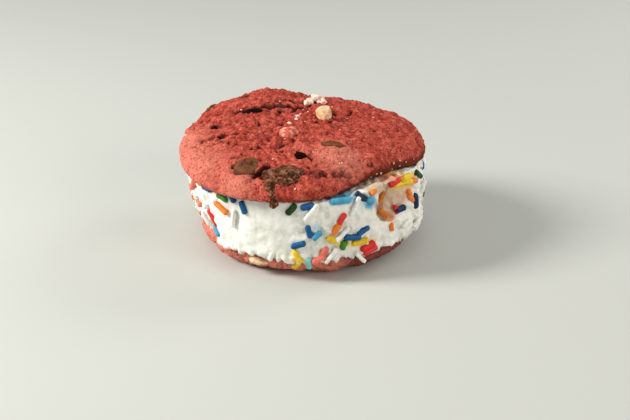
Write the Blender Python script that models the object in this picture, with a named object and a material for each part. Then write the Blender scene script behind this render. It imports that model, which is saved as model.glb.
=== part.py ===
"""Cookie ice cream sandwich: two red cookies, domed sides out, with white ice cream between them.

Metres, +Z up. The sandwich rests on the flattened middle of the lower cookie, at the origin. -Y is its front.
A bearing is an angle round the sandwich in degrees: 0 is the front, and 90 is the +X side.
"""

import math
import random

import bmesh
import bpy
from mathutils import Matrix, Vector, noise

MM = 0.001
GAP = 0.4 * MM  # clearance between two pieces that rest on each other
POCKET_GAP = 0.35 * MM  # clearance between a piece and its pocket in a cookie

# The upper cookie, in its own frame: its flat underside is at z = 0.
TOP_RADIUS = 39.3 * MM
TOP_EGG = 2.2 * MM  # it is fuller on the left, and pointed on the right
TOP_EGG_BACK = 1.2 * MM  # the same at the back
TOP_NOTCH = 2.4 * MM  # how far its edge steps in at the front right
TOP_HEIGHT = 10.0 * MM
TOP_CORNER = 1.5 * MM  # height of the widest line of its edge
TOP_FULLNESS = 3.0  # the higher, the flatter its top and the steeper its edge
TOP_CURL = 2.0 * MM  # how far that edge lifts
TOP_CURL_BEARING = 46.0
TOP_CURL_SPREAD = (6, 34)  # degrees from there: the step and the lift are full up to 6, and end at 34
CURL_STARTS = 0.6  # share of the radius from which the underside lifts
TOP_BASE = 28.8 * MM  # height of its underside, in the middle
TOP_TILT = math.radians(4.0)  # its front is low
TOP_WOBBLE = (9 * MM, 0.5 * MM)  # wave and rise of its uneven outline
TOP_LUMPS = [(8 * MM, 0.7 * MM), (3.4 * MM, 0.4 * MM)]  # waves and rises of its skin
CRACK_BEND = (3 * MM, 1.2 * MM)  # wave and reach with which its cracks wander

# The lower cookie lies dome down, in its own frame dome up.
LOW_RADIUS = 35.7 * MM
LOW_EGG = 1.6 * MM  # it is fuller at the front and back
LOW_LEAN = 1.5 * MM  # and reaches further on the right
LOW_HEIGHT = 8.0 * MM
LOW_FLAT = 0.35 * MM  # how much of its dome is pressed flat where it rests
LOW_CORNER = 2.2 * MM
LOW_FULLNESS = 8.0
LOW_WOBBLE = (7 * MM, 0.6 * MM)
LOW_LUMPS = [(6 * MM, 0.7 * MM), (2.6 * MM, 0.5 * MM)]
LOW_PRESSED = (0.5, 0.8)  # shares of its radius between which it goes from pressed smooth to lumpy

# How a sphere is laid over a cookie's form.
UNDER_EDGE = 25.0  # degrees of the sphere below its equator that become the edge's lower corner
CORNER_RUN = 0.8  # how far in that corner runs, in heights of the corner
# Heights of the corner between which the lumps of a cookie's skin fade in, so that its flat side stays flat.
TOP_FADE = (0.2, 1.2)
LOW_FADE = (0.1, 0.8)

# The ice cream between them.
ICE_RADIUS = 37.4 * MM
ICE_LEAN = 1.3 * MM  # it is squeezed out further on the right
ICE_TUCK = 3.6 * MM  # how far its side runs in at the foot, on the left
ICE_BULGE = 0.8 * MM
ICE_SHOULDER = 1.6 * MM  # how far in its rounded upper edge starts
ICE_SHOULDER_STARTS = 0.86  # share of its height
ICE_SLOPE_STARTS = 0.6  # the same under the lifted edge of the upper cookie
ICE_LUMPS = [(9 * MM, 1.3 * MM), (4 * MM, 0.8 * MM)]
ICE_TUCK_CURVE = 1.5  # the higher, the nearer to the foot the tuck stays
ICE_LIP = 0.85 * MM  # clearance between its hanging lip and the lower cookie's edge
ICE_LIP_THICK = 1.3 * MM
# The lower edge of that lip hangs in tongues: bearing and height in mm, all the way round.
ICE_TONGUES = [
    (-160, 6.6), (-140, 4.8), (-122, 6.8), (-106, 5.6), (-92, 8.8), (-56, 8.8), (-42, 7.2), (-18, 7.4),
    (-12, 6.6), (-6, 6.2), (5, 6.2), (10, 7.1), (18, 7.0), (24, 6.8), (35, 7.3), (41, 7.5), (49, 6.2),
    (57, 6.8), (69, 7.0), (80, 6.2), (92, 6.4), (118, 6.8), (140, 5.2), (160, 7.4),
]
TONGUE_WOBBLE = (0.09, 0.5 * MM)  # wave, as a share of the radius, and rise
# Degrees from the top of a sphere at which the ice cream's top, side, lip and inner wall end.
ICE_ENDS = (50.0, 125.0, 132.0, 138.0)
# Hollows in its side: bearing, then height, half width, half height and depth in mm.
HOLLOWS = [(39.0, 22.5, 3.4, 4.2, 3.0), (92.0, 16.5, 17.0, 6.5, 2.0)]

SPRINKLE_RADIUS = 1.1 * MM
SPRINKLE_LENGTH = 6.0 * MM
SPRINKLE_PROUD = 0.25 * MM  # how far its centre line stands out of the ice cream
SPRINKLE_SIDES = 5
BACK_SPRINKLES = 36
BACK_BEARINGS = (84.0, 288.0)
BACK_HEIGHTS = (10.5 * MM, 24.5 * MM)
BACK_LENGTHS = (0.72, 1.1)  # shares of a sprinkle's length
BACK_SPACING = 0.8 * SPRINKLE_LENGTH
SPRINKLE_PITCH = 6  # degrees that a sprinkle's end may stand off the side, or sink in
SPRINKLE_SEED = 7

TOP_TRIANGLES = 2000
LOW_TRIANGLES = 1000
ICE_TRIANGLES = 2300
CAGE_DETAIL = 7  # a sphere of 81,920 triangles, thinned once it has its shape
# A chip whose longest half size is over so many mm is a sphere of this detail, thinned to so many triangles.
CHIP_DETAILS = [(5, 4, 150), (3, 3, 90), (0, 2, None)]
CHIP_LUMPS = (1.3, 0.16)  # lumps to a chip's half size, and their rise as a share of it
NORMAL_STEP = 1.5 * MM  # half the distance over which the upper cookie's slope is measured

# Soft rises and hollows of the upper cookie's top: x, y, spread and rise in mm.
SWELLS = [
    (-12, 30, 5.5, 1.7),
    (-27, 24, 9.0, 0.4),
    (25, 25, 12.0, -0.6),
    (-10, 18, 6.0, 1.0),
    (3, 34, 7.0, -0.6),
    (14, 33, 12.0, -1.0),
    (-34, 14, 9.0, -0.8),
    (9, -23, 5.0, 1.3),
    (-20, -35, 6.0, 0.7),
    (5, -37, 7.0, 0.6),
    (-27, -14, 8.0, 0.6),
    (19, 6, 11.0, -0.8),
    (-6, 2, 7.0, -0.5),
]
# Cracks of the upper cookie's top: x and y of each end in mm, then width and depth.
CRACKS = [
    (-21, 10, -10, 12.5, 1.3, 2.4),
    (-10, 12.5, 0, 12.5, 1.2, 1.8),
    (-14, -35, -10.5, -31.5, 0.8, 1.4),
    (0, -34.5, 14, -30.5, 0.8, 0.8),
    (-31, -10, -18, -9.5, 0.8, 0.9),
    (-6, 17.5, 4, 16, 1.0, 1.3),
    (-28.5, 0, -27, -0.5, 1.1, 1.8),
    (-25.5, -11.5, -25, -9.5, 1.0, 1.6),
]
# Pieces in the upper cookie's top: x, y, half sizes along, across and through, turn in degrees, height of
# their middle over the surface, all in mm, and what they are.
TOP_PIECES = {
    "chocolate_chunk_front": (-5.5, -35.0, 6.0, 4.0, 2.4, 34, -0.6, "chocolate"),
    "chocolate_chip_left": (-16.8, -29.4, 3.8, 4.8, 1.9, 10, -1.2, "chocolate"),
    "chocolate_chip_middle": (-0.6, -24.4, 2.1, 2.2, 1.3, 0, -0.9, "chocolate"),
    "chocolate_chip_back": (-15.8, 8.4, 3.6, 2.2, 1.7, -6, -0.7, "chocolate"),
    "chocolate_chip_right": (9.7, -18.8, 4.0, 2.0, 1.5, -6, -0.4, "chocolate"),
    "chocolate_chip_far": (20.0, 26.0, 3.0, 2.2, 1.5, 60, -1.1, "chocolate"),
    "white_chip_top": (6.4, 2.4, 2.6, 2.5, 3.0, 20, 0.9, "white_chocolate"),
    "white_crumbs_top": (4.2, 17.6, 3.2, 2.8, 2.0, 15, 0.4, "white_chocolate"),
    "white_chip_coated": (-4.2, -10.4, 2.8, 2.4, 1.8, -15, 0.1, "coated_chip"),
}
# Pieces in a cookie's edge: bearing, height over its lowest face, half sizes along, up and out, how far their
# middle is out of the edge's widest line, all in mm, and what they are.
TOP_EDGE_PIECES = {
    "chocolate_nub_front": (-12.0, 0.6, 1.3, 2.0, 1.2, -0.4, "chocolate"),
    "chocolate_chip_edge": (-127.0, 4.6, 2.6, 1.5, 1.5, -3.3, "chocolate"),
}
LOW_EDGE_PIECES = {
    "white_chip_low": (-22.0, 4.6, 3.1, 1.1, 1.3, -0.5, "white_chocolate"),
    "chocolate_chip_low_back": (158.0, 4.4, 3.4, 1.6, 1.4, -0.4, "chocolate"),
    "white_chip_low_back": (-118.0, 4.3, 2.6, 1.3, 1.3, -0.5, "white_chocolate"),
}
# The sprinkles round the front: bearing, height in mm, lean in degrees (0 level, rising to the right) and
# length in mm.
FRONT_SPRINKLES = [
    (-67, 21.5, 60, 4.5), (-61, 17.5, 5, 5.0), (-57, 12.4, -60, 5.0), (-50, 24.0, 0, 5.0),
    (-48, 15.0, -48, 6.5), (-45, 11.4, -45, 4.5), (-40, 23.4, -20, 6.0), (-41, 19.7, -32, 6.5),
    (-33, 24.0, -70, 3.6), (-33, 18.0, 85, 6.0), (-27, 22.2, -65, 5.0), (-4, 23.5, 52, 5.0),
    (2, 24.4, 20, 4.5), (4, 23.0, 56, 6.8), (17, 24.8, 4, 6.0), (24, 23.4, 70, 6.5),
    (29, 25.2, -30, 4.0), (32, 22.2, -40, 4.0), (3.5, 16.8, -75, 4.5), (6.5, 14.5, 30, 4.0),
    (17.5, 20.4, 58, 4.0), (15.5, 17.6, 62, 5.5), (18, 15.2, 46, 6.0), (24, 13.2, -8, 6.0),
    (30, 14.6, 25, 4.5), (13, 13.2, -30, 4.0), (19.5, 11.6, 60, 3.4), (27.5, 11.2, 8, 5.6),
    (32.5, 9.7, 14, 5.8), (34.6, 7.5, 12, 5.4), (-1.5, 12.4, 20, 5.2), (-2, 8.6, -60, 4.6),
    (-2.2, 5.4, 52, 4.2), (3, 6.2, -86, 5.0), (10, 9.8, 60, 4.6), (7, 7.6, 25, 4.6),
    (13.5, 8.4, 52, 6.0), (25, 6.6, -45, 6.0), (43, 8.4, -56, 5.0), (55, 8.2, 50, 5.0),
    (51, 25.0, 10, 5.6), (58, 24.0, -5, 6.0), (65, 22.0, -35, 5.6), (72, 24.6, -35, 5.6),
    (35, 25.4, 30, 3.4), (42, 25.0, 40, 4.5), (60, 20.0, -60, 5.6), (70, 16.0, -70, 6.2),
    (40.5, 22.4, 55, 4.8), (39.6, 18.8, -40, 5.0), (53, 17.4, 0, 5.4), (49, 18.4, -60, 3.4),
    (45, 13.4, -80, 3.8), (77, 19.5, -80, 5.0), (66, 10.2, 30, 5.0),
]

COLOURS = {
    "red_cookie": ((0.45, 0.085, 0.055), 0.85),
    "ice_cream": ((0.86, 0.85, 0.80), 0.45),
    "chocolate": ((0.075, 0.030, 0.018), 0.5),
    "white_chocolate": ((0.80, 0.62, 0.42), 0.5),
    "coated_chip": ((0.70, 0.28, 0.20), 0.55),
}


def smooth(low, high, value):
    """0 below low, 1 above high, and a soft step between them."""
    share = min(1.0, max(0.0, (value - low) / (high - low)))
    return share * share * (3 - 2 * share)


def bearing_of(x, y):
    return math.degrees(math.atan2(x, -y))


def outward(bearing):
    """The level direction that points away from the middle at this bearing."""
    angle = math.radians(bearing)
    return Vector((math.sin(angle), -math.cos(angle), 0))


def apart(bearing, other):
    """The angle between two bearings, in degrees."""
    return abs((bearing - other + 180) % 360 - 180)


def uneven(point, wave, rise):
    """A soft bump or hollow, up to about rise, that changes over a distance of wave."""
    return rise * noise.noise(point / wave)


def lumps(point, sizes):
    """Several such bumps together, from their waves and rises."""
    return sum(uneven(point, wave, rise) for wave, rise in sizes)


def curl_share(bearing):
    """1 where the upper cookie's edge steps in and lifts most, and 0 away from there."""
    return 1 - smooth(*TOP_CURL_SPREAD, apart(bearing, TOP_CURL_BEARING))


def top_radius(bearing):
    """The upper cookie's egg-shaped outline: equal reach to both sides, but full corners on the left."""
    angle = math.radians(bearing - 90)
    wobble = uneven(outward(bearing) * TOP_RADIUS, *TOP_WOBBLE)
    notch = TOP_NOTCH * curl_share(bearing)
    egg = TOP_EGG + (TOP_EGG_BACK - TOP_EGG) * smooth(-0.5, 0.5, math.sin(angle))
    return TOP_RADIUS + egg * (math.cos(3 * angle) - math.cos(angle)) + wobble - notch


def low_radius(bearing):
    """The lower cookie's outline."""
    angle = math.radians(bearing)
    wobble = uneven(outward(bearing) * LOW_RADIUS, *LOW_WOBBLE)
    return LOW_RADIUS + LOW_EGG * math.cos(2 * angle) + LOW_LEAN * math.sin(angle) + wobble


def top_curl(bearing):
    """How far the upper cookie's edge lifts at this bearing."""
    return TOP_CURL * curl_share(bearing)


def no_curl(_bearing):
    return 0.0


def dome(share, height, corner, fullness):
    """Height of a cookie's top at a share of its radius."""
    return corner + (height - corner) * math.sqrt(max(0.0, 1 - share**fullness))


def cookie_point(direction, radius_at, curl_at, height, corner, fullness):
    """Where a direction from a unit sphere lands on a domed disc with a rounded edge and a flat underside."""
    bearing = bearing_of(direction.x, direction.y)
    radius, curl = radius_at(bearing), curl_at(bearing)
    level = outward(bearing)
    if direction.z >= 0:
        share = min(1.0, math.hypot(direction.x, direction.y))
        return level * (share * radius) + Vector((0, 0, dome(share, height, corner + curl, fullness)))
    below = math.degrees(math.asin(min(1.0, -direction.z)))
    inner = radius - CORNER_RUN * corner
    if below < UNDER_EDGE:
        turn = math.radians(90 * below / UNDER_EDGE)
        reach = inner + (radius - inner) * math.cos(turn)
        lift = corner * (1 - math.sin(turn))
    else:
        reach = inner * (90 - below) / (90 - UNDER_EDGE)
        lift = 0.0
    lift += curl * smooth(CURL_STARTS, 1.0, reach / radius)
    return level * reach + Vector((0, 0, lift))


def crack_depth(x, y):
    """How deep the cracks cut at a point of the upper cookie's top."""
    deepest = 0.0
    for x0, y0, x1, y1, width, depth in CRACKS:
        start, end, here = Vector((x0, y0)) * MM, Vector((x1, y1)) * MM, Vector((x, y))
        along = max(0.0, min(1.0, (here - start).dot(end - start) / (end - start).length_squared))
        bend = uneven(Vector((x, y, depth)), *CRACK_BEND)
        off = (here - start.lerp(end, along)).length + bend
        deepest = max(deepest, depth * MM * math.exp(-((off / (width * MM)) ** 2)))
    return deepest


def swelling(x, y):
    """The soft rises and hollows of the upper cookie's top at a point."""
    total = 0.0
    for x0, y0, spread, rise in SWELLS:
        off = math.hypot(x - x0 * MM, y - y0 * MM) / (spread * MM)
        total += rise * MM * math.exp(-(off**2))
    return total


def top_relief(point):
    """How far the upper cookie's skin stands out of its plain form."""
    return swelling(point.x, point.y) + lumps(point, TOP_LUMPS) - crack_depth(point.x, point.y)


def low_relief(point):
    """The lower cookie's skin: lumpy round its edge, and pressed smooth where it rests."""
    edge = smooth(*LOW_PRESSED, math.hypot(point.x, point.y) / LOW_RADIUS)
    return edge * lumps(point, LOW_LUMPS)


def top_surface(x, y):
    """The point of the upper cookie's top over x and y, without its cracks."""
    bearing = bearing_of(x, y)
    share = math.hypot(x, y) / top_radius(bearing)
    height = dome(share, TOP_HEIGHT, TOP_CORNER + top_curl(bearing), TOP_FULLNESS)
    return Vector((x, y, height + swelling(x, y)))


def ice_hang(bearing):
    """Height of the lower edge of the ice cream: it hangs in uneven tongues."""
    turned = (bearing + 180) % 360 - 180
    first, last = ICE_TONGUES[0], ICE_TONGUES[-1]
    stops = [(last[0] - 360, last[1]), *ICE_TONGUES, (first[0] + 360, first[1])]
    for (low, from_height), (high, to_height) in zip(stops, stops[1:]):
        if low <= turned <= high:
            break
    plain = from_height + (to_height - from_height) * smooth(low, high, turned)
    ragged = plain * MM + uneven(outward(bearing), *TONGUE_WOBBLE)
    return min(ragged, LOW_HEIGHT + 0.8 * GAP)


def ice_top(bearing, reach):
    """Height of the ice cream's top, which follows the tilted cookie's underside."""
    tilted = -reach * math.cos(math.radians(bearing)) * math.tan(TOP_TILT)
    curl = top_curl(bearing) * smooth(CURL_STARTS, 1.0, reach / top_radius(bearing))
    return TOP_BASE - GAP + tilted + curl


def hanging(bearing):
    """1 where the lip hangs round the lower cookie, and 0 where the ice cream stops on top of it."""
    return smooth(0, 0.5 * MM, LOW_HEIGHT - ice_hang(bearing))


def ice_radius(bearing, height):
    """The side of the ice cream: a soft barrel, lumpy and hollowed in two places."""
    low, high = ice_hang(bearing), ice_top(bearing, ICE_RADIUS)
    share = (height - low) / (high - low)
    barrel = ICE_BULGE * math.sin(math.pi * max(0.0, min(1.0, share)))
    edge = smooth(ICE_SHOULDER_STARTS, 1.0, share) ** 2
    shoulder = ICE_SHOULDER * (edge + curl_share(bearing) * smooth(ICE_SLOPE_STARTS, 1.0, share))
    here = outward(bearing) * ICE_RADIUS + Vector((0, 0, height))
    sunk = 0.0
    for middle, middle_height, wide, tall, deep in HOLLOWS:
        across = math.radians(apart(bearing, middle)) * ICE_RADIUS / (wide * MM)
        up = (height - middle_height * MM) / (tall * MM)
        sunk += deep * MM * math.exp(-(across**2) - up**2)
    lean = ICE_LEAN * math.sin(math.radians(bearing))
    left = max(0.0, -math.sin(math.radians(bearing)))
    tuck = ICE_TUCK * left**2 * (1 - max(0.0, min(1.0, share))) ** ICE_TUCK_CURVE
    side = ICE_RADIUS + lean + barrel - shoulder + lumps(here, ICE_LUMPS) - sunk - tuck
    short = low_radius(bearing) + ICE_LIP + ICE_LIP_THICK - side
    return side + max(0.0, short) * hanging(bearing)


def ice_point(direction):
    """Where a direction from a unit sphere lands on the ice cream: flat top, side, lip and flat underside."""
    bearing = bearing_of(direction.x, direction.y)
    level = outward(bearing)
    down = math.degrees(math.acos(max(-1.0, min(1.0, direction.z))))
    top_ends, side_ends, lip_ends, wall_ends = ICE_ENDS
    bottom = LOW_HEIGHT + GAP
    hang = ice_hang(bearing)
    free = ice_radius(bearing, hang) - ICE_LIP_THICK
    inner = free + (low_radius(bearing) + ICE_LIP - free) * hanging(bearing)
    edge_height = ice_top(bearing, ICE_RADIUS)
    if down <= top_ends:
        reach = ice_radius(bearing, edge_height) * down / top_ends
        return level * reach + Vector((0, 0, ice_top(bearing, reach)))
    if down <= side_ends:
        height = edge_height + (hang - edge_height) * (down - top_ends) / (side_ends - top_ends)
        return level * ice_radius(bearing, height) + Vector((0, 0, height))
    if down <= lip_ends:
        share = (down - side_ends) / (lip_ends - side_ends)
        outer = ice_radius(bearing, hang)
        return level * (outer + (inner - outer) * share) + Vector((0, 0, hang))
    if down <= wall_ends:
        share = (down - lip_ends) / (wall_ends - lip_ends)
        return level * inner + Vector((0, 0, hang + (bottom - hang) * share))
    reach = inner * (180 - down) / (180 - wall_ends)
    return level * reach + Vector((0, 0, bottom))


def clear_scene():
    for obj in list(bpy.data.objects):
        bpy.data.objects.remove(obj)


def make_collection(name):
    made = bpy.data.collections.new(name)
    bpy.context.scene.collection.children.link(made)
    return made


def make_material(name):
    colour, roughness = COLOURS[name]
    made = bpy.data.materials.new(name)
    made.use_nodes = True
    shader = made.node_tree.nodes["Principled BSDF"]
    shader.inputs["Base Color"].default_value = (*colour, 1)
    shader.inputs["Roughness"].default_value = roughness
    shader.inputs["Metallic"].default_value = 0.0
    return made


def make_object(name, mesh, group, finish=None):
    obj = bpy.data.objects.new(name, mesh)
    group.objects.link(obj)
    if finish:
        mesh.materials.append(MATERIALS[finish])
    return obj


def sphere_mesh(name, detail, place, relief=None):
    """A mesh made from an icosphere: place puts each direction where it belongs, and relief moves it out."""
    form = bmesh.new()
    bmesh.ops.create_icosphere(form, subdivisions=detail, radius=1.0)
    for vertex in form.verts:
        vertex.co = place(vertex.co.normalized())
    if relief:
        form.normal_update()
        moved = [vertex.co + vertex.normal * relief(vertex.co) for vertex in form.verts]
        for vertex, point in zip(form.verts, moved):
            vertex.co = point
    mesh = bpy.data.meshes.new(name)
    form.to_mesh(mesh)
    form.free()
    return mesh


def thin_out(obj, triangles):
    """Keeps the shape with about this many triangles."""
    thinner = obj.modifiers.new("thin_out", "DECIMATE")
    thinner.ratio = triangles / len(obj.data.polygons)
    thinner.use_collapse_triangulate = True


def cut_pockets(obj, cutters):
    pocket = obj.modifiers.new("pockets", "BOOLEAN")
    pocket.operation = "DIFFERENCE"
    pocket.operand_type = "COLLECTION"
    pocket.collection = cutters
    pocket.solver = "EXACT"


def chunk_point(direction, halves, salt, grow):
    """A point of a rounded, uneven chunk with these half sizes, grown outwards a little for its pocket."""
    wave, rise = CHIP_LUMPS
    rough = 1 + rise * noise.noise(direction * wave + Vector((salt, 0, 0)))
    point = Vector([part * half * rough for part, half in zip(direction, halves)])
    normal = Vector([part / half for part, half in zip(direction, halves)]).normalized()
    return point + normal * grow


def make_chunk(name, halves, matrix, finish, cutters):
    """A piece that sits in a cookie, and the slightly larger cutter of its pocket."""
    detail, triangles = next((detail, few) for over, detail, few in CHIP_DETAILS if max(halves) > over)
    halves = [half * MM for half in halves]
    salt = sum(map(ord, name)) % 97
    made = []
    for title, grow, group in ((name, 0.0, PARTS), (f"cut_{name}", POCKET_GAP, cutters)):
        mesh = sphere_mesh(title, detail, lambda d, grow=grow: chunk_point(d, halves, salt, grow))
        obj = make_object(title, mesh, group, finish if group == PARTS else None)
        obj.matrix_local = matrix
        if group == cutters:
            obj.hide_render = True
            obj.display_type = "WIRE"
        if triangles:
            thin_out(obj, triangles)
        made.append(obj)
    return made


def frame_on(point, normal, turn):
    """A matrix at point whose Z is along normal, turned round it by turn degrees from the X direction."""
    side = Vector((1, 0, 0)) - normal * normal.x
    side.normalize()
    axes = Matrix((side, normal.cross(side), normal)).transposed().to_4x4()
    return Matrix.Translation(point) @ axes @ Matrix.Rotation(math.radians(turn), 4, "Z")


def top_normal(x, y):
    """The direction in which the upper cookie's top faces over x and y."""
    step = NORMAL_STEP
    slope_x = (top_surface(x + step, y).z - top_surface(x - step, y).z) / (2 * step)
    slope_y = (top_surface(x, y + step).z - top_surface(x, y - step).z) / (2 * step)
    return Vector((-slope_x, -slope_y, 1)).normalized()


def make_top_pieces(pose, cutters):
    for name, (x, y, along, across, through, turn, proud, finish) in TOP_PIECES.items():
        point, normal = top_surface(x * MM, y * MM), top_normal(x * MM, y * MM)
        matrix = frame_on(point + normal * proud * MM, normal, turn)
        for obj in make_chunk(name, (along, across, through), matrix, finish, cutters):
            obj.parent = pose


def make_edge_pieces(pieces, radius_at, pose, cutters):
    for name, (bearing, height, along, up, out, proud, finish) in pieces.items():
        level = outward(bearing)
        middle = level * (radius_at(bearing) + proud * MM) + Vector((0, 0, height * MM))
        side = Vector((0, 0, 1)).cross(level)
        matrix = Matrix.Translation(middle) @ Matrix((side, level, Vector((0, 0, 1)))).transposed().to_4x4()
        for obj in make_chunk(name, (along, out, up), matrix, finish, cutters):
            obj.parent = pose


def make_pose(name, location, rotation):
    """The empty that carries a cookie and the pieces in it."""
    pose = bpy.data.objects.new(name, None)
    PARTS.objects.link(pose)
    pose.location = location
    pose.rotation_euler = rotation
    return pose


def make_top_cookie():
    pose = make_pose("top_pose", (0, 0, TOP_BASE), (TOP_TILT, 0, 0))

    def place(direction):
        return cookie_point(direction, top_radius, top_curl, TOP_HEIGHT, TOP_CORNER, TOP_FULLNESS)

    def relief(point):
        lift = point.z - top_curl(bearing_of(point.x, point.y))
        return top_relief(point) * smooth(*TOP_FADE, lift / TOP_CORNER)

    mesh = sphere_mesh("top_cookie", CAGE_DETAIL, place, relief)
    cookie = make_object("top_cookie", mesh, PARTS, "red_cookie")
    cookie.parent = pose
    thin_out(cookie, TOP_TRIANGLES)
    cutters = make_collection("top_pocket_cutters")
    make_top_pieces(pose, cutters)
    make_edge_pieces(TOP_EDGE_PIECES, top_radius, pose, cutters)
    cut_pockets(cookie, cutters)


def make_ground(cutters):
    """A slab under the origin, which presses the lower cookie flat where it rests."""
    form = bmesh.new()
    bmesh.ops.create_cube(form, size=1.0)
    bmesh.ops.scale(form, vec=(3 * LOW_RADIUS, 3 * LOW_RADIUS, LOW_HEIGHT), verts=form.verts)
    bmesh.ops.translate(form, vec=(0, 0, -LOW_HEIGHT / 2), verts=form.verts)
    mesh = bpy.data.meshes.new("ground")
    form.to_mesh(mesh)
    form.free()
    ground = make_object("ground", mesh, cutters)
    ground.hide_render = True
    ground.display_type = "WIRE"


def make_low_cookie():
    """The lower cookie is modelled dome up, and turned over about the X axis."""
    pose = make_pose("low_pose", (0, 0, LOW_HEIGHT), (math.pi, 0, 0))

    def turned_radius(bearing):
        return low_radius(180 - bearing)

    def place(direction):
        height = LOW_HEIGHT + LOW_FLAT
        return cookie_point(direction, turned_radius, no_curl, height, LOW_CORNER, LOW_FULLNESS)

    def relief(point):
        return low_relief(point) * smooth(*LOW_FADE, point.z / LOW_CORNER)

    mesh = sphere_mesh("bottom_cookie", CAGE_DETAIL, place, relief)
    cookie = make_object("bottom_cookie", mesh, PARTS, "red_cookie")
    cookie.parent = pose
    thin_out(cookie, LOW_TRIANGLES)
    cutters = make_collection("low_pocket_cutters")
    make_ground(cutters)
    turned = {
        name: (180 - bearing, LOW_HEIGHT / MM - height, *rest)
        for name, (bearing, height, *rest) in LOW_EDGE_PIECES.items()
    }
    make_edge_pieces(turned, turned_radius, pose, cutters)
    cut_pockets(cookie, cutters)


def sprinkle_mesh(name, length):
    """A rod with blunt ends: a coarse sphere whose two halves are drawn apart along Z."""
    form = bmesh.new()
    bmesh.ops.create_uvsphere(form, u_segments=SPRINKLE_SIDES, v_segments=3, radius=SPRINKLE_RADIUS)
    half = length / 2 - SPRINKLE_RADIUS
    for vertex in form.verts:
        vertex.co.z += math.copysign(half, vertex.co.z)
    mesh = bpy.data.meshes.new(name)
    form.to_mesh(mesh)
    form.free()
    return mesh


def sprinkle_matrix(bearing, height, lean, pitch):
    """A rod's place on the ice cream's side: lean turns it from level, and pitch lifts its end outwards."""
    level = outward(bearing)
    side = Vector((0, 0, 1)).cross(level)
    turn, lift = math.radians(lean), math.radians(pitch)
    flat = side * math.cos(turn) + Vector((0, 0, 1)) * math.sin(turn)
    along = flat * math.cos(lift) + level * math.sin(lift)
    middle = level * (ice_radius(bearing, height) + SPRINKLE_PROUD) + Vector((0, 0, height))
    return Matrix.Translation(middle) @ along.to_track_quat("Z", "Y").to_matrix().to_4x4()


def back_sprinkles():
    """The sprinkles round the back: spread by chance, with some room between them."""
    chance = random.Random(SPRINKLE_SEED)
    placed = []
    while len(placed) < BACK_SPRINKLES:
        bearing = chance.uniform(*BACK_BEARINGS)
        height = chance.uniform(*BACK_HEIGHTS)
        lean = chance.uniform(-90, 90)
        length = chance.uniform(*BACK_LENGTHS) * SPRINKLE_LENGTH
        across = [math.radians(apart(bearing, other[0])) * ICE_RADIUS for other in placed]
        if all(math.hypot(off, height - other[1]) > BACK_SPACING for off, other in zip(across, placed)):
            placed.append((bearing, height, lean, length))
    return placed


def make_ice_cream():
    ice = make_object("ice_cream", sphere_mesh("ice_cream", CAGE_DETAIL, ice_point), PARTS, "ice_cream")
    thin_out(ice, ICE_TRIANGLES)
    rods = make_collection("sprinkles")
    front = [(bearing, height * MM, lean, length * MM) for bearing, height, lean, length in FRONT_SPRINKLES]
    chance = random.Random(SPRINKLE_SEED + 1)
    for number, (bearing, height, lean, length) in enumerate(front + back_sprinkles()):
        title = f"sprinkle_{number}"
        rod = make_object(title, sprinkle_mesh(title, length), rods)
        pitch = chance.uniform(-SPRINKLE_PITCH, SPRINKLE_PITCH)
        rod.matrix_world = sprinkle_matrix(bearing, height, lean, pitch)
        rod.hide_render = True
        rod.display_type = "WIRE"
    fused = ice.modifiers.new("fuse_sprinkles", "BOOLEAN")
    fused.operation = "UNION"
    fused.operand_type = "COLLECTION"
    fused.collection = rods
    fused.solver = "EXACT"
    bpy.context.view_layer.update()
    whole = bpy.data.meshes.new_from_object(ice.evaluated_get(bpy.context.evaluated_depsgraph_get()))
    ice.modifiers.clear()
    ice.data = whole
    for rod in list(rods.objects):
        bpy.data.objects.remove(rod)
    bpy.data.collections.remove(rods)


clear_scene()
PARTS = make_collection("cookie_ice_cream_sandwich")
MATERIALS = {name: make_material(name) for name in COLOURS}
make_low_cookie()
make_ice_cream()
make_top_cookie()
bpy.context.view_layer.update()
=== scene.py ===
"""Looks of the cookie ice cream sandwich: baked red crumb, torn ice cream, rod sprinkles and chocolate.

Metres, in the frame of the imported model: +Z up, and the front at -Y. A bearing is an angle round the
sandwich in degrees: 0 is the front, and 90 is the +X side. Relief is given by waves and rises: the distance
over which it changes and how far it goes up and down, with a shift of the pattern where two must differ.
"""

import math
import random

import bmesh
import bpy
import numpy as np
from mathutils import Matrix, Vector, noise
from mathutils.bvhtree import BVHTree


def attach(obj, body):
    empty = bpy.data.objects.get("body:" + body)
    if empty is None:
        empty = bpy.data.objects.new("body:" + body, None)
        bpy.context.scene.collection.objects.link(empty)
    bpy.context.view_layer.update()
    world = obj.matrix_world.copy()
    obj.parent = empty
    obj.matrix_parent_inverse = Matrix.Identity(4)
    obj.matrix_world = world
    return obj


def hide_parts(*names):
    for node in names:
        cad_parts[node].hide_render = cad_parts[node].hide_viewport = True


MM = 0.001
GAP = 0.4 * MM  # clearance between two pieces that rest on each other
FAR = 60 * MM  # further out than any point of the sandwich
UP = Vector((0, 0, 1))
WARP_SHIFTS = (0.01, 0.02, 0.03)

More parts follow.
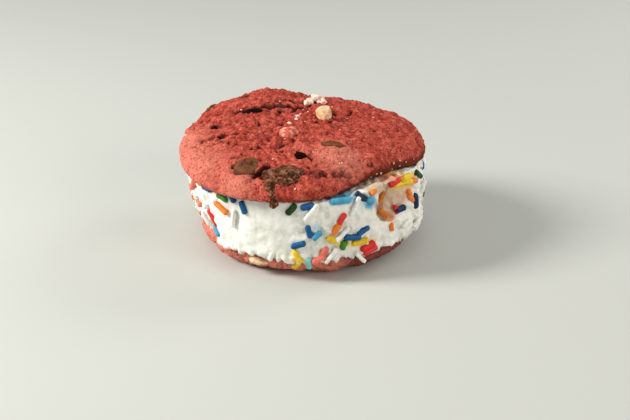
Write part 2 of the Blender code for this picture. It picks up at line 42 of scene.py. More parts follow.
# The upper cookie, in its own frame: its flat underside is at z = 0.
TOP_RADIUS = 39.3 * MM
TOP_EGG = 2.2 * MM  # it is fuller on the left, and pointed on the right
TOP_EGG_BACK = 1.2 * MM  # the same at the back
TOP_NOTCH = 2.4 * MM  # how far its edge steps in at the front right
TOP_HEIGHT = 10.0 * MM
TOP_CORNER = 1.5 * MM  # height of the widest line of its edge
TOP_FULLNESS = 3.0  # the higher, the flatter its top and the steeper its edge
TOP_CURL = 2.0 * MM  # how far that edge lifts
TOP_CURL_BEARING = 46.0
TOP_CURL_SPREAD = (6, 34)  # degrees from there: the step and the lift are full up to 6, and end at 34
CURL_STARTS = 0.6  # share of the radius from which the underside lifts
TOP_BASE = 28.8 * MM  # height of its underside, in the middle
TOP_TILT = math.radians(4.0)  # its front is low
TOP_WOBBLE = (9 * MM, 0.5 * MM)
TOP_LUMPS = [(8 * MM, 0.7 * MM), (3.4 * MM, 0.4 * MM)]
TOP_FADE = (0.0, 1.2)  # heights of the corner between which the lumps of its edge fade in
CRACK_BEND = (3 * MM, 1.2 * MM)
FINE_CRACK_BEND = (1.5 * MM, 1.2 * MM)

# The lower cookie lies dome down, in its own frame dome up.
LOW_RADIUS = 35.7 * MM
LOW_EGG = 1.6 * MM  # it is fuller at the front and back
LOW_LEAN = 1.5 * MM  # and reaches further on the right
LOW_HEIGHT = 8.0 * MM
LOW_FLAT = 0.35 * MM  # how much of its dome is pressed flat where it rests
LOW_CORNER = 2.2 * MM
LOW_FULLNESS = 8.0
LOW_WOBBLE = (7 * MM, 0.6 * MM)
LOW_LUMPS = [(6 * MM, 0.7 * MM), (2.6 * MM, 0.5 * MM)]
LOW_PRESSED = (0.5, 0.8)  # shares of its radius between which it goes from pressed smooth to lumpy
LOW_FADE = (0.1, 0.8)

# How a skin is laid over a cookie's form.
DOME_STEPS = 400
CORNER_RUN = 0.8  # how far in the edge's lower corner runs, in heights of the corner
UNDERSIDE = 7 * MM  # how far in the skin runs on from there, before it closes to the middle

# The torn crumb of both cookies.
CRUMB_WARP = (5 * MM, 1.6 * MM)
GRIT = [(1.5 * MM, 0.34 * MM), (0.8 * MM, 0.22 * MM, 0.05)]
GRIT_SHARES = (0.36, 0.9)  # what shows of it everywhere, and what comes on top where the dough is rough
CRATER_WAVE = 2.6 * MM
CRATER_RIM = 0.12
CRATER_DEPTH = 1.3 * MM
CREASES = (4.5 * MM, 0.045, 0.45 * MM)  # wave, width as a share of it, and depth
RIDGES = (2.6 * MM, 0.46 * MM)
RIDGE_STRETCH = (1.6, 1, 1)
PIT_SHADE = (0.15 * MM, 0.9 * MM)  # depths between which the dough is painted dark: painted shade in its dents, cracks and pits

# How rough that crumb is. The upper cookie's middle is the most broken, and its pale patches the smoothest.
BROKEN = {"x": -8 * MM, "y": 2 * MM, "spread": 22 * MM, "patches": (11 * MM, 0.5), "limits": (0.1, 1.0)}
PALE_SMOOTHS = 0.45
PALE_FLATTENS = 0.8  # how much of the ridges is gone in a pale patch
TOP_UNDERSIDE_ROUGH = 0.35
LOW_BROKEN = {"plain": 0.75, "patches": (9 * MM, 0.4), "limits": (0.3, 1.0), "underside": 0.3}
LOW_PALE = {"plain": 1.3, "patches": (7 * MM, 0.5)}

# The browned rim of the upper cookie: its height on the left, and what the right and its corner add to it,
# which adds painted shade to the brown on the rim's shaded side.
RIM_BROWN = 0.3 * MM
RIM_BROWN_AND_SHADE_RIGHT = 1.6 * MM
RIM_BROWN_AND_SHADE_CORNER = 0.9 * MM
RIM_RIGHT = (2, 30)  # bearings over which the right side begins
RIM_BACK = (80, 120)  # and over which it loses a share of its brown and painted shade
RIM_BACK_LOSS = 0.6
RIM_CORNER = ((25, 45), (80, 105))
RIM_RAGGED = [(2.5 * MM, 0.8 * MM), (0.9 * MM, 0.6 * MM)]
RIM_SOFT = (0.85, 1.15)
RIM_DROOP = 0.6 * MM  # how far it hangs into the ice cream at the right
RIM_DROOP_WAY = ((0.9, 1.0), (1.9, 2.3))  # where it does so, on the way out and round the edge
UNDERSIDE_WAY = 1.8
UNDERSIDE_BAKE = 0.9
# The lower cookie is painted darker at the front right with the browned colour: painted shade, where the
# ice cream and the upper cookie shade it.
LOW_PAINTED_SHADE = 0.85
LOW_SHADE_BEARINGS = (8, 32)

# The ice cream between them.
ICE_RADIUS = 37.4 * MM
ICE_LEAN = 1.3 * MM  # it is squeezed out further on the right
ICE_TUCK = 3.6 * MM  # how far its side runs in at the foot, on the left
ICE_TUCK_CURVE = 1.5  # the higher, the nearer to the foot the tuck stays
ICE_BULGE = 0.8 * MM
ICE_SHOULDER = 1.6 * MM  # how far in its rounded upper edge starts
ICE_SHOULDER_STARTS = 0.86  # share of its height
ICE_SLOPE_STARTS = 0.6  # the same under the lifted edge of the upper cookie
ICE_LUMPS = [(9 * MM, 1.3 * MM), (4 * MM, 0.8 * MM)]
ICE_LIP = 0.85 * MM  # clearance between its hanging lip and the lower cookie's edge
ICE_LIP_THICK = 1.3 * MM
LIP_ROUND = 0.6 * MM  # how far in its rounded lower edge runs
LIP_ROUND_HEIGHT = 1.2 * MM
# The lower edge of that lip hangs in tongues: bearing and height in mm, all the way round.
ICE_TONGUES = [
    (-160, 6.6), (-140, 4.8), (-122, 6.8), (-106, 5.6), (-92, 8.8), (-56, 8.8), (-42, 7.2), (-18, 7.4),
    (-12, 6.6), (-6, 6.2), (5, 6.2), (10, 7.1), (18, 7.0), (24, 6.8), (35, 7.3), (41, 7.5), (49, 6.2),
    (57, 6.8), (69, 7.0), (80, 6.2), (92, 6.4), (118, 6.8), (140, 5.2), (160, 7.4),
]
# Waves, as shares of the radius, and rises.
TONGUE_WOBBLE = (0.09, 0.5 * MM)
TEETH = [(0.045, 0.9 * MM), (0.022, 0.5 * MM)]
HANG_LIMIT = LOW_HEIGHT + 0.8 * GAP  # where nothing hangs
# Hollows in its side: bearing, then height, half width, half height and depth in mm.
HOLLOWS = [(39.0, 22.5, 3.4, 4.2, 3.0), (92.0, 16.5, 17.0, 6.5, 2.0)]
# Beside the first one the scoop tore out a wider hollow, with a steep ragged wall at its left. Its left and
# right and its wall's half width are in degrees.
SCOOPED = {
    "left": 40.0, "right": 60.0, "wall": 3.0, "ragged": (5 * MM, 4.0), "height": 21.6 * MM,
    "tall": 5.2 * MM, "deep": 2.8 * MM,
}
# The ice cream sinks beside the browned rim, between these bearings, and out to so far past the cookie.
LEDGE_DROP = 0.9 * MM
LEDGE_BEARINGS = ((18, 34), (80, 96))
LEDGE_REACH = (1.0 * MM, 4.0 * MM)
TOP_SHOWS = (-2.5 * MM, 0.0)  # how far past the cookie its top turns from hidden and plain to torn
# The smooth patch at the front left of its side: its half width in degrees, how soft its edge is as shares
# of that, the heights over which it begins, and how much of the torn relief is gone in it.
CALM = {"bearing": -21.0, "wide": 23.0, "edge": (0.55, 1.2), "foot": (7.5 * MM, 10.5 * MM), "smooths": 0.85}
# The torn relief: crests where warped noise passes through zero, nodules, and folds in the smooth patch.
TORN = {"warp": (6 * MM, 2.5 * MM), "wave": 3.4 * MM, "crest": 0.35, "height": 1.7 * MM}
NODULES = [(1.7 * MM, 0.55 * MM, 0.04), (0.9 * MM, 0.25 * MM, 0.07)]
FOLDS = (7 * MM, 0.5 * MM, 0.02)
FOLD_STRETCH = (1, 1, 1.8)

SPRINKLE_RADIUS = 1.0 * MM
SPRINKLE_LENGTH = 6.0 * MM
SPRINKLE_PROUD = 0.3 * MM  # how far its centre line stands out of the ice cream
SPRINKLE_SIDES = 10
SPRINKLE_SEED = 7
WHITE_PROUD = 0.6 * MM  # white sprinkles lie on the ice cream, where the others have sunk in
WHITE_THICK = 0.76  # and are thinner
ROD_BLUNT = 0.75  # length of a rod's round end, in its radii
ROD_END_ANGLES = (18, 45, 75)
ROD_STATIONS = (-0.95, -0.35, 0.35, 0.95)  # shares of the half length between its ends
ROD_TAPER = 0.06
ROD_BEND = 0.14 * MM
ROD_THICKNESS = (0.9, 1.08)
ROD_SINKS = (-0.25, 0.15)  # in radii
ROD_SEAT = 0.7  # share of its half length at which each end touches the ice cream
BACK_SPRINKLES = 36
BACK_BEARINGS = (84.0, 288.0)
BACK_HEIGHTS = (10.5 * MM, 24.5 * MM)
BACK_LENGTHS = (0.72, 1.1)  # shares of a sprinkle's length
BACK_SPACING = 0.8 * SPRINKLE_LENGTH

TOP_GRID = 300  # points across the upper cookie's skin
LOW_GRID = 220
ICE_AROUND = 760
# The ice cream's outline from its top's edge down and round the lip: each stretch and its rows.
ICE_STRETCHES = [("top", 14), ("side", 66), ("lip", 5), ("wall", 8), ("bottom", 5)]
ICE_TOP_STARTS = 0.78  # shares of the radius at which the rows of its top start
ICE_BOTTOM_RUN = 0.15  # and that the rows of its underside take up

# Soft rises and hollows of the upper cookie's top: x, y, spread and rise in mm.
SWELLS = [
    (-12, 30, 5.5, 1.7), (-27, 24, 9.0, 0.4), (25, 25, 12.0, -0.6), (-10, 18, 6.0, 1.0),
    (3, 34, 7.0, -0.6), (14, 33, 12.0, -1.0), (-34, 14, 9.0, -0.8), (9, -23, 5.0, 1.3),
    (-20, -35, 6.0, 0.7), (5, -37, 7.0, 0.6), (-27, -14, 8.0, 0.6), (19, 6, 11.0, -0.8),
    (-6, 2, 7.0, -0.5),
]
# Cracks of the upper cookie's top: x and y of each end in mm, then width and depth.
CRACKS = [
    (-21, 10, -10, 12.5, 1.3, 2.4), (-10, 12.5, 0, 12.5, 1.2, 1.8), (-14, -35, -10.5, -31.5, 0.8, 1.4),
    (0, -34.5, 14, -30.5, 0.8, 0.8), (-31, -10, -18, -9.5, 0.8, 0.9), (-6, 17.5, 4, 16, 1.0, 1.3),
    (-28.5, 0, -27, -0.5, 1.1, 1.8), (-25.5, -11.5, -25, -9.5, 1.0, 1.6),
]
# Finer ones, which the solids leave out.
FINE_CRACKS = [
    (15.5, -6.5, 18.5, -7.5, 0.6, 0.9), (-33, -12, -28, -8.5, 0.45, 0.5), (-9, -20, -3, -16, 0.6, 0.5),
    (-4, -14, 2, -17, 0.6, 0.5), (12, -30, 21, -24, 0.7, 0.5), (-13.5, -34, -10.6, -31.4, 0.9, 1.4),
    (0.6, -24.6, 3.0, -26.4, 0.9, 1.4),
]
# Where the dough is smoother and paler: x, y and spread in mm. On the left rim this paleness is also
# painted light, where that rim faces the key light.
PALE_AND_LIT_PATCHES = [
    (9, -24, 6.5), (14, -26, 5.0), (-38, -2, 8.0), (-38, -14, 8.0), (-31, -25, 8.0), (-20, -36, 6.0),
]
# How far the dough swells round a chip, and where that collar is and how wide, as shares of its size.
COLLAR_RISE = 0.45 * MM
COLLAR_REACH = 1.35
COLLAR_WIDTH = 0.28
# Small deep pits with an uneven outline: places in the photograph's pixels, with width and depth in mm.
PIT_BEND = (1.2 * MM, 0.35 * MM)
PIT_STEEPNESS = 3
PITS = [
    (214.8, 128, 0.95, 1.9), (220.6, 138, 0.85, 1.8), (221.5, 141, 0.6, 1.2), (252, 133, 0.75, 1.6),
    (254, 132.6, 0.5, 1.2), (234.7, 145, 0.7, 1.2), (236.5, 144, 0.5, 1.0), (248.8, 140.5, 0.75, 1.4),
    (251, 140, 0.5, 1.1), (289.4, 105, 0.8, 1.8), (281, 110.5, 0.9, 1.9), (284, 111, 0.7, 1.4),
    (266.2, 134.7, 0.6, 1.0), (226.4, 124.8, 0.6, 0.9), (228, 142, 0.55, 1.0), (231, 141, 0.45, 0.8),
    (214.8, 144, 0.5, 0.8), (242.2, 154, 0.45, 0.8), (252, 148, 0.6, 1.0), (268.7, 139.7, 0.6, 0.9),
    (327.4, 134, 0.55, 0.8), (379.6, 126.5, 0.6, 0.9), (370.5, 144.3, 0.55, 0.9), (397.4, 129.8, 0.6, 0.8),
    (386.7, 125.6, 0.5, 0.8), (351.4, 110.7, 0.6, 0.8), (374.6, 129.8, 0.6, 0.9), (282, 146, 0.7, 0.9),
    (276, 150, 0.6, 1.0), (283.5, 150.5, 0.5, 0.8), (243, 165, 0.5, 1.0), (234.4, 167, 0.7, 1.4),
    (260, 159.5, 0.6, 1.2), (303.5, 163, 0.5, 1.0), (308, 166.5, 0.5, 0.8), (263.5, 176.5, 1.0, 1.6),
    (333.6, 109, 0.7, 1.3), (334.0, 113, 0.9, 1.6), (333.6, 117.5, 0.9, 1.5), (331, 121, 0.6, 0.9),
    (323.5, 123.4, 0.6, 0.9), (315.4, 121.5, 0.7, 1.1),
]

# Pieces in the upper cookie's top: x, y, half sizes along, across and through, turn in degrees, height of
# its middle over the surface, and its finish. Lengths are in mm.
TOP_PIECES = {
    "chocolate_chunk_front": (-5.5, -35.0, 6.0, 4.0, 2.4, 34, -0.6, "chocolate_broken"),
    "chocolate_chip_left": (-16.4, -29.4, 4.4, 5.0, 1.9, -20, -0.9, "chocolate_bloomed"),
    "chocolate_chip_middle": (-0.6, -24.4, 2.1, 2.2, 1.3, 0, -0.9, "chocolate"),
    "chocolate_chip_back": (-15.8, 8.4, 3.6, 2.2, 1.7, -6, -0.7, "chocolate"),
    "chocolate_chip_right": (9.7, -18.8, 4.0, 2.0, 1.5, -6, -0.4, "chocolate_bloomed"),
    "chocolate_chip_far": (20.0, 26.0, 3.0, 2.2, 1.5, 60, -1.1, "chocolate_bloomed"),
    "white_chip_top": (6.9, 2.6, 2.0, 2.6, 3.2, 4, 1.1, "white_chocolate"),
    "white_crumbs_top": (4.2, 17.6, 3.2, 2.8, 2.0, 15, 0.4, "white_crumb"),
    "white_chip_coated": (-4.2, -10.4, 2.8, 2.4, 1.8, -15, 0.1, "coated_chip"),
}
# Pieces in a cookie's edge: bearing, height in the cookie's frame, half sizes along, up and out, how far
# out its middle is from the edge's widest line, and its finish. Lengths are in mm.
TOP_EDGE_PIECES = {
    "chocolate_nub_front": (-12.0, 0.6, 1.3, 2.0, 1.2, -0.4, "chocolate_broken"),
    "chocolate_chip_edge": (-127.0, 4.6, 2.6, 1.5, 1.5, -3.3, "chocolate_bloomed"),
}
LOW_EDGE_PIECES = {
    "white_chip_low": (-22.0, 4.6, 3.1, 1.1, 1.3, -0.5, "white_chocolate"),
    "chocolate_chip_low_back": (158.0, 4.4, 3.4, 1.6, 1.4, -0.4, "chocolate_bloomed"),
    "white_chip_low_back": (-118.0, 4.3, 2.6, 1.3, 1.3, -0.5, "white_chocolate"),
}
# Lumps that make up a broken piece: x, y and z of each one's middle in the piece's own frame, then its
# three half sizes, all in mm.
LUMPS = {
    "chocolate_chunk_front": [
        (1.0, 0.6, 0.0, 4.4, 3.2, 2.2), (-3.4, 0.9, 0.1, 2.6, 2.3, 1.9), (-3.9, -2.9, -0.3, 1.6, 2.5, 1.7),
        (-3.5, -5.0, -0.7, 1.2, 1.8, 1.3), (4.2, 1.4, -0.1, 2.0, 2.0, 1.8),
        (1.6, 2.6, -0.2, 2.8, 1.8, 1.8), (-0.6, -2.0, 0.2, 2.4, 1.4, 1.5),
    ],
    "chocolate_nub_front": [
        (0.0, 0.0, 0.5, 1.35, 1.2, 1.5), (0.2, 0.1, -0.9, 1.2, 1.1, 1.1), (-0.5, 0.2, 0.9, 0.9, 0.9, 0.9),
        (-0.3, -0.4, 2.1, 1.1, 0.9, 1.4),
    ],
    "white_crumbs_top": [
        (1.0, 0.6, 0.6, 1.7, 1.3, 1.1), (-2.9, -2.6, 0.2, 0.9, 0.8, 0.8), (-1.7, -1.7, 0.6, 0.8, 0.9, 0.8),
        (-2.4, -0.4, 0.2, 0.7, 0.7, 0.7), (-0.5, -0.5, 0.7, 1.0, 0.8, 0.9), (0.6, 0.9, 0.9, 0.9, 0.8, 0.9),
        (-0.6, 1.9, 0.9, 0.9, 0.7, 0.8), (1.9, 1.5, 0.6, 0.9, 0.8, 0.8), (2.4, -0.4, 0.3, 0.6, 0.7, 0.7),
        (0.9, -1.8, 0.1, 0.6, 0.6, 0.6), (-2.9, -3.8, 0.1, 0.9, 0.8, 0.8),
        (-1.5, -3.0, 0.3, 0.7, 0.8, 0.7), (2.7, -2.3, 0.4, 0.9, 0.9, 0.8),
    ],
}
# A chip that broke to a wedge: how much wider it gets towards the back and towards the top, and the height
# at which it is flat, with that face's slope. All are shares of its half sizes.
WEDGES = {"white_chip_top": {"back": 0.5, "up": 0.25, "flat": 0.72, "slope": 0.3}}
# For each finish, how many flat faces a chip is broken into and how rough its skin is.
CHIP_FORMS = {
    "chocolate": (0, 0.10 * MM),
    "chocolate_bloomed": (0, 0.12 * MM),
    "white_chocolate": (9, 0.14 * MM),
    "coated_chip": (10, 0.30 * MM),
}
CHIP_DETAIL = 5  # how often the faces of a chip's first rough ball are divided
CHIP_LUMPS = (1.3, 0.16)  # how many soft lumps there are across it, and how high, as a share of its size
CHIP_GRAINS = [(1.1 * MM, 1.0), (0.5 * MM, 0.5)]  # waves and shares of its roughness
# A broken chip's facets: their size, how sharp the edges between them are, and the least and most of it.
FACET_SIZE = 0.92
FACET_SHARPNESS = 14
FACET_LIMITS = (0.75, 1.2)
NORMAL_STEP = 1.5 * MM  # to each side of a chip, for the slope of the top under it
SALTS = 97  # how many different patterns the chips' names stand for
LUMP_DETAIL = 4
LUMP_FORM = (9, 0.12 * MM)
LUMP_VOXEL = 0.22 * MM
LUMP_GRAINS = [(1.5 * MM, 0.14 * MM), (0.6 * MM, 0.12 * MM)]

# The sprinkles that the photograph shows, by colour: bearing, height in mm, lean in degrees (0 is level,
# and it rises to the right) and length in mm.
FRONT_SPRINKLES = {
    "red": [(-49, 15.0, -48, 6.3), (17.3, 20.6, 58, 4.0), (30.5, 9.7, 14, 5.6), (31.5, 8.2, 12, 5.6),
            (49.4, 18.2, -70, 3.2), (47.4, 27.4, 10, 5.0)],
    "pink": [(-68, 22.0, 60, 4.5), (-64, 16.6, 0, 4.5), (9.6, 9.8, 58, 4.4), (7.2, 7.8, 28, 4.6)],
    "orange": [(-41, 20.0, -24, 6.0), (15.5, 17.8, 62, 5.5), (59, 20.6, -62, 5.6),
               (44.2, 13.6, -80, 3.0), (32.6, 27.2, 20, 2.4), (64, 24.6, -20, 5.0)],
    # Orange sprinkles in the hollow, in a darker colour that paints their shade.
    "shaded_orange": [(40.3, 22.6, 55, 5.4), (39.4, 18.9, -42, 5.4)],
    "yellow": [(13, 14.0, -20, 3.8), (26.2, 12.0, 8, 5.6), (-2, 8.6, -60, 4.6), (-2.2, 5.4, 52, 4.2),
               (51, 7.2, 48, 5.0), (51.5, 26.2, -8, 6.2), (58, 25.4, -14, 6.4), (56, 27.4, 4, 5.0)],
    "green": [(-40.5, 23.6, -14, 4.8), (18.2, 11.8, 60, 3.2)],
    # Green sprinkles in a darker colour that paints their shade.
    "shaded_green": [(-4.4, 23.7, 52, 4.6), (69.5, 25.4, -34, 6.4)],
    "blue": [(-52, 24.4, 0, 4.6), (-34, 24.4, -60, 3.4), (-27.4, 22.4, -65, 4.4), (2.6, 24.9, 12, 4.5),
             (3.2, 16.8, -75, 4.4), (22.6, 13.8, -8, 5.6), (28.0, 15.2, 25, 4.6), (-1.5, 12.4, 20, 4.8)],
    "navy": [(51.5, 17.8, 0, 4.6), (66, 17.2, -74, 5.8), (27, 26.2, -40, 4.4)],
    "sky": [(-47, 11.0, -42, 4.6), (17, 26.2, 2, 6.4), (31, 24.6, -45, 3.2), (6.5, 15.6, 40, 3.6)],
    "teal": [(3, 6.2, -86, 4.4)],
    "white": [(-33, 18.0, 85, 6.0), (4.0, 23.3, 54, 6.8), (23.4, 24.0, 66, 6.5), (17.6, 15.4, 46, 6.0),
              (12.6, 8.8, 52, 6.0), (27, 6.4, -48, 6.0), (44, 8.0, -56, 5.0), (77, 19.5, -80, 5.0),
              (66, 10.2, 30, 5.0), (-58, 12.6, -60, 5.0), (54, 12.6, 15, 4.4)],
}
SPRINKLE_COLOURS = {
    "red": (0.72, 0.030, 0.025),
    "pink": (0.90, 0.20, 0.14),
    "orange": (0.92, 0.24, 0.03),
    # painted shade: the orange of a sprinkle in shade
    "shaded_orange": (0.60, 0.17, 0.010),
    "yellow": (0.90, 0.60, 0.02),
    "green": (0.060, 0.24, 0.030),
    # painted shade: the green of a sprinkle in shade
    "shaded_green": (0.018, 0.055, 0.008),
    "blue": (0.005, 0.10, 0.27),
    "navy": (0.004, 0.028, 0.09),
    "sky": (0.07, 0.36, 0.56),
    "teal": (0.26, 0.58, 0.56),
    "white": (0.96, 0.95, 0.92),
}
# The sugar's own white, and the share of it in every colour.
SUGAR_WHITE = 0.9
SUGAR_SHARE = 0.008
# Mixed colours in the ice cream: caramel where it soaked up orange sprinkles, darkened as painted shade on
# the hollow's left wall, and a warm beige that is painted shade in the hollow and under the rim.
SOAKED_AND_SHADE_COLOURS = {"caramel_and_shade": (0.30, 0.11, 0.02), "painted_warm_shade": (0.60, 0.44, 0.31)}
# Colour that the ice cream has taken up, and painted shade in its hollow and under the upper cookie's rim:
# bearing, height and half sizes across and up in mm, name, share.
STAINS_AND_SHADE = [
    (18, 26.5, 5.0, 1.8, "sky", 0.75), (6.5, 16.5, 2.2, 3.4, "sky", 0.45),
    (31, 24.0, 2.6, 2.6, "sky", 0.70), (43.4, 25.4, 1.6, 1.4, "caramel_and_shade", 1.6),
    (40.2, 23.9, 1.7, 1.6, "caramel_and_shade", 2.2), (39.0, 21.8, 2.2, 1.9, "caramel_and_shade", 2.6),
    (39.0, 19.7, 2.2, 1.7, "caramel_and_shade", 2.6), (40.4, 17.9, 1.8, 1.4, "caramel_and_shade", 2.0),
    (43.8, 16.7, 1.8, 1.2, "shaded_orange", 1.2), (44.0, 27.2, 4.4, 2.0, "painted_warm_shade", 1.0),
    (36.0, 28.0, 4.6, 2.0, "painted_warm_shade", 1.0), (50.0, 22.5, 5.6, 3.8, "painted_warm_shade", 0.80),
    (44.5, 22.8, 2.6, 2.6, "caramel_and_shade", 0.30), (48.0, 18.6, 3.6, 2.4, "painted_warm_shade", 0.60),
    (55.5, 26.2, 6.0, 2.0, "yellow", 1.40), (48.5, 27.6, 3.4, 1.5, "red", 1.10),
    (60.0, 24.0, 4.0, 2.6, "painted_warm_shade", 0.60), (-47, 11.0, 3.0, 2.0, "sky", 0.40),
    (26, 11.5, 5.0, 1.8, "yellow", 0.45), (17, 12.5, 3.0, 1.8, "yellow", 0.50),
    (3, 6.5, 1.8, 2.6, "teal", 0.40), (-2, 7.0, 2.2, 3.0, "yellow", 0.55),
    (31, 8.6, 4.0, 1.8, "red", 0.35), (60, 22.0, 4.0, 4.5, "orange", 0.22),
]

# Crumbs on the skin, as places in the photograph's pixels and a size in mm.
WHITE_SPECKS = [
    (241.3, 110, 0.7), (289.4, 123, 1.6), (297.7, 116, 1.8), (296, 119, 1.2), (300, 114.5, 0.7),
    (305, 121.5, 0.6), (310, 127, 0.6), (303, 110, 0.8), (308, 112, 0.7), (349, 143, 0.6), (340, 130, 0.5),
    (272.8, 159, 0.8), (266.5, 161.5, 0.6), (295, 189, 0.8), (271.3, 192.5, 0.5), (339.5, 164, 0.6),
    (342, 163, 0.5), (313, 152, 0.6), (393.7, 163.5, 0.9), (392, 169, 0.7), (400, 161, 0.7),
    (399.5, 166, 0.6), (381, 173, 0.7), (376.5, 174, 0.5), (406, 162, 0.5), (413.5, 159, 0.5),
    (371, 177, 0.5), (285, 139, 0.5), (322, 158, 0.5), (279, 167, 0.4),
]
DARK_SPECKS = [(324.3, 98, 1.2), (322.5, 97, 0.9), (421, 168, 0.6), (421, 187, 0.5), (306.5, 158.5, 1.0)]
# Crumbs over the back: how many, their bearings, the squares of their shares of the radius, and sizes.
BACK_SPECKS = 26
BACK_SPECK_BEARINGS = (90, 270)
BACK_SPECK_SPREAD = (0.1, 0.9)
BACK_SPECK_SIZES = (0.35 * MM, 0.8 * MM)
SPECK_HALVES = (0.35, 1.15)
SPECK_TUMBLE = 3  # radians
SPECK_RELIEF = (0.35 * MM, 0.20 * MM)
STAIN_FLATNESS = 1.5  # the higher, the more even a stain is and the sharper its edge
NEARLY_NONE = 1e-6  # so that no point divides by zero

# Colours of the skins, the floor and the sky.
COLOURS = {
    "dough": (0.47, 0.060, 0.038), "bright_dough": (0.61, 0.100, 0.066), "pale_dough": (0.80, 0.28, 0.20),
    # The crumb's top colour is painted highlight, and the gap, pore and pit colours are painted shade.
    "light_patch": (0.76, 0.19, 0.13), "dark_patch": (0.27, 0.024, 0.015), "crumb_highlight": (0.86, 0.30, 0.21),
    "crumb_gap_shade": (0.20, 0.017, 0.011), "fine_gap_shade": (0.24, 0.022, 0.014), "pore_shade": (0.11, 0.010, 0.007),
    # The browned colour also stands for painted shade on the shaded side of the rims.
    "pit_shade": (0.050, 0.007, 0.005), "browned_and_shaded": (0.130, 0.022, 0.010),
    "ice_cream_shade": (0.74, 0.73, 0.66), "ice_cream": (0.86, 0.85, 0.79),
    "chocolate": (0.003, 0.001, 0.001), "chocolate_cloud": (0.014, 0.004, 0.002),
    "chip": (0.050, 0.013, 0.005), "chip_cloud": (0.160, 0.048, 0.020), "bloom": (0.22, 0.080, 0.036),
    # The chip's edge colour is painted shade.
    "chip_edge": (0.050, 0.014, 0.007),
    "torn_chocolate": (0.075, 0.024, 0.011), "torn_cloud": (0.185, 0.064, 0.031),
    # The dust colour is also painted highlight, and the hollow colour is painted shade.
    "chocolate_dust_and_highlight": (0.38, 0.190, 0.120), "chocolate_hollow_shade": (0.014, 0.005, 0.003),
    "white_chip": (0.66, 0.40, 0.20), "white_chip_cloud": (0.82, 0.60, 0.38),
    "dough_tint": (0.60, 0.20, 0.12),
    "tinted_crumb": (0.80, 0.42, 0.33), "white_crumb": (0.88, 0.74, 0.64),
    "film": (0.50, 0.075, 0.050), "thin_film": (0.86, 0.36, 0.26), "film_crumb": (0.28, 0.035, 0.022),
    "floor": (0.56, 0.57, 0.54), "sky": (0.86, 0.90, 0.87),
}
FLOOR_HALF = 3.0
# Place, width and power of each light, and its colour.
LIGHTS = {
    "key_light": ((-0.60, -0.09, 0.40), 0.26, 6.4, (1.0, 0.98, 0.93)),
    "fill_light": ((0.60, -0.50, 0.34), 0.50, 2.6, (1.0, 0.93, 0.86)),
    "back_light": ((0.50, 0.30, 0.34), 0.30, 1.4, (1.0, 0.96, 0.92)),
}
LIGHTS_AIM = Vector((0, 0, 15 * MM))
SKY_STRENGTH = 0.42

PHOTO_WIDE = 630
PHOTO_HIGH = 420
SENSOR = 36.0
CAMERA_LENS = 87.5
CAMERA_ELEVATION = math.radians(22.0)
CAMERA_DISTANCE = 0.5
CAMERA_AIM = Vector((4.0, 0.0, 7.8)) * MM
CAMERA_BACK = Vector((0, -math.cos(CAMERA_ELEVATION), math.sin(CAMERA_ELEVATION)))
CAMERA_UP = Vector((0, math.sin(CAMERA_ELEVATION), math.cos(CAMERA_ELEVATION)))
CAMERA_PLACE = CAMERA_AIM + CAMERA_BACK * CAMERA_DISTANCE


def smooth(low, high, value):
    """0 below low, 1 above high, and a soft step between them."""
    share = np.clip((value - low) / (high - low), 0.0, 1.0)
    return share * share * (3 - 2 * share)


def stretch(value, grows, fades):
    """0, then 1 once value has passed the first range, and 0 again past the second."""
    return smooth(*grows, value) * (1 - smooth(*fades, value))


def bearing_of(points):
    return np.degrees(np.arctan2(points[..., 0], -points[..., 1]))


def outward(bearing):
    """The level direction that points away from the middle at this bearing."""
    angle = np.radians(bearing)
    return np.stack([np.sin(angle), -np.cos(angle), 0 * angle], axis=-1)


def level_at(bearing):
    """The same direction at one bearing, as a Vector."""
    return Vector(outward(float(bearing)).tolist())


def apart(bearing, other):
    """The angle between two bearings, in degrees."""
    return np.abs((bearing - other + 180) % 360 - 180)


def uneven(points, wave, rise, shift=0.0):
    """A soft bump or hollow at each point, up to about rise, that changes over a distance of wave."""
    flat = np.reshape(points + shift, (-1, 3)) / wave
    heights = np.array([noise.noise(point) for point in flat.tolist()])
    return rise * heights.reshape(np.shape(points)[:-1])


def lumps(points, sizes):
    """Several such bumps together, from their waves and rises."""
    return sum(uneven(points, *size) for size in sizes)


def warped(points, wave, reach):
    """The points, each moved a little in a direction of its own."""
    return points + np.stack([uneven(points, wave, reach, shift) for shift in WARP_SHIFTS], axis=-1)


def creases(points, wave, width, depth):
    """A net of thin lines, depth deep, where soft noise passes through zero."""
    return depth * np.exp(-((uneven(points, wave, 1.0) / width) ** 2))


def curl_share(bearing):
    """1 where the upper cookie's edge steps in and lifts most, and 0 away from there."""
    return 1 - smooth(*TOP_CURL_SPREAD, apart(bearing, TOP_CURL_BEARING))


def top_radius(bearing):
    """The upper cookie's egg-shaped outline."""
    angle = np.radians(bearing - 90)
    wobble = uneven(outward(bearing) * TOP_RADIUS, *TOP_WOBBLE)
    notch = TOP_NOTCH * curl_share(bearing)
    egg = TOP_EGG + (TOP_EGG_BACK - TOP_EGG) * smooth(-0.5, 0.5, np.sin(angle))
    return TOP_RADIUS + egg * (np.cos(3 * angle) - np.cos(angle)) + wobble - notch


def low_radius(bearing):
    """The lower cookie's outline."""
    angle = np.radians(bearing)
    wobble = uneven(outward(bearing) * LOW_RADIUS, *LOW_WOBBLE)
    return LOW_RADIUS + LOW_EGG * np.cos(2 * angle) + LOW_LEAN * np.sin(angle) + wobble


def turned_low_radius(bearing):
    """The same outline, seen with the cookie dome up."""
    return low_radius(180 - bearing)


def top_curl(bearing):
    """How far the upper cookie's edge lifts at this bearing."""
    return TOP_CURL * curl_share(bearing)


def no_curl(bearing):
    return 0 * bearing


def dome(share, height, corner, fullness):
    """Height of a cookie's top at a share of its radius."""
    return corner + (height - corner) * np.sqrt(np.clip(1 - share**fullness, 0, 1))


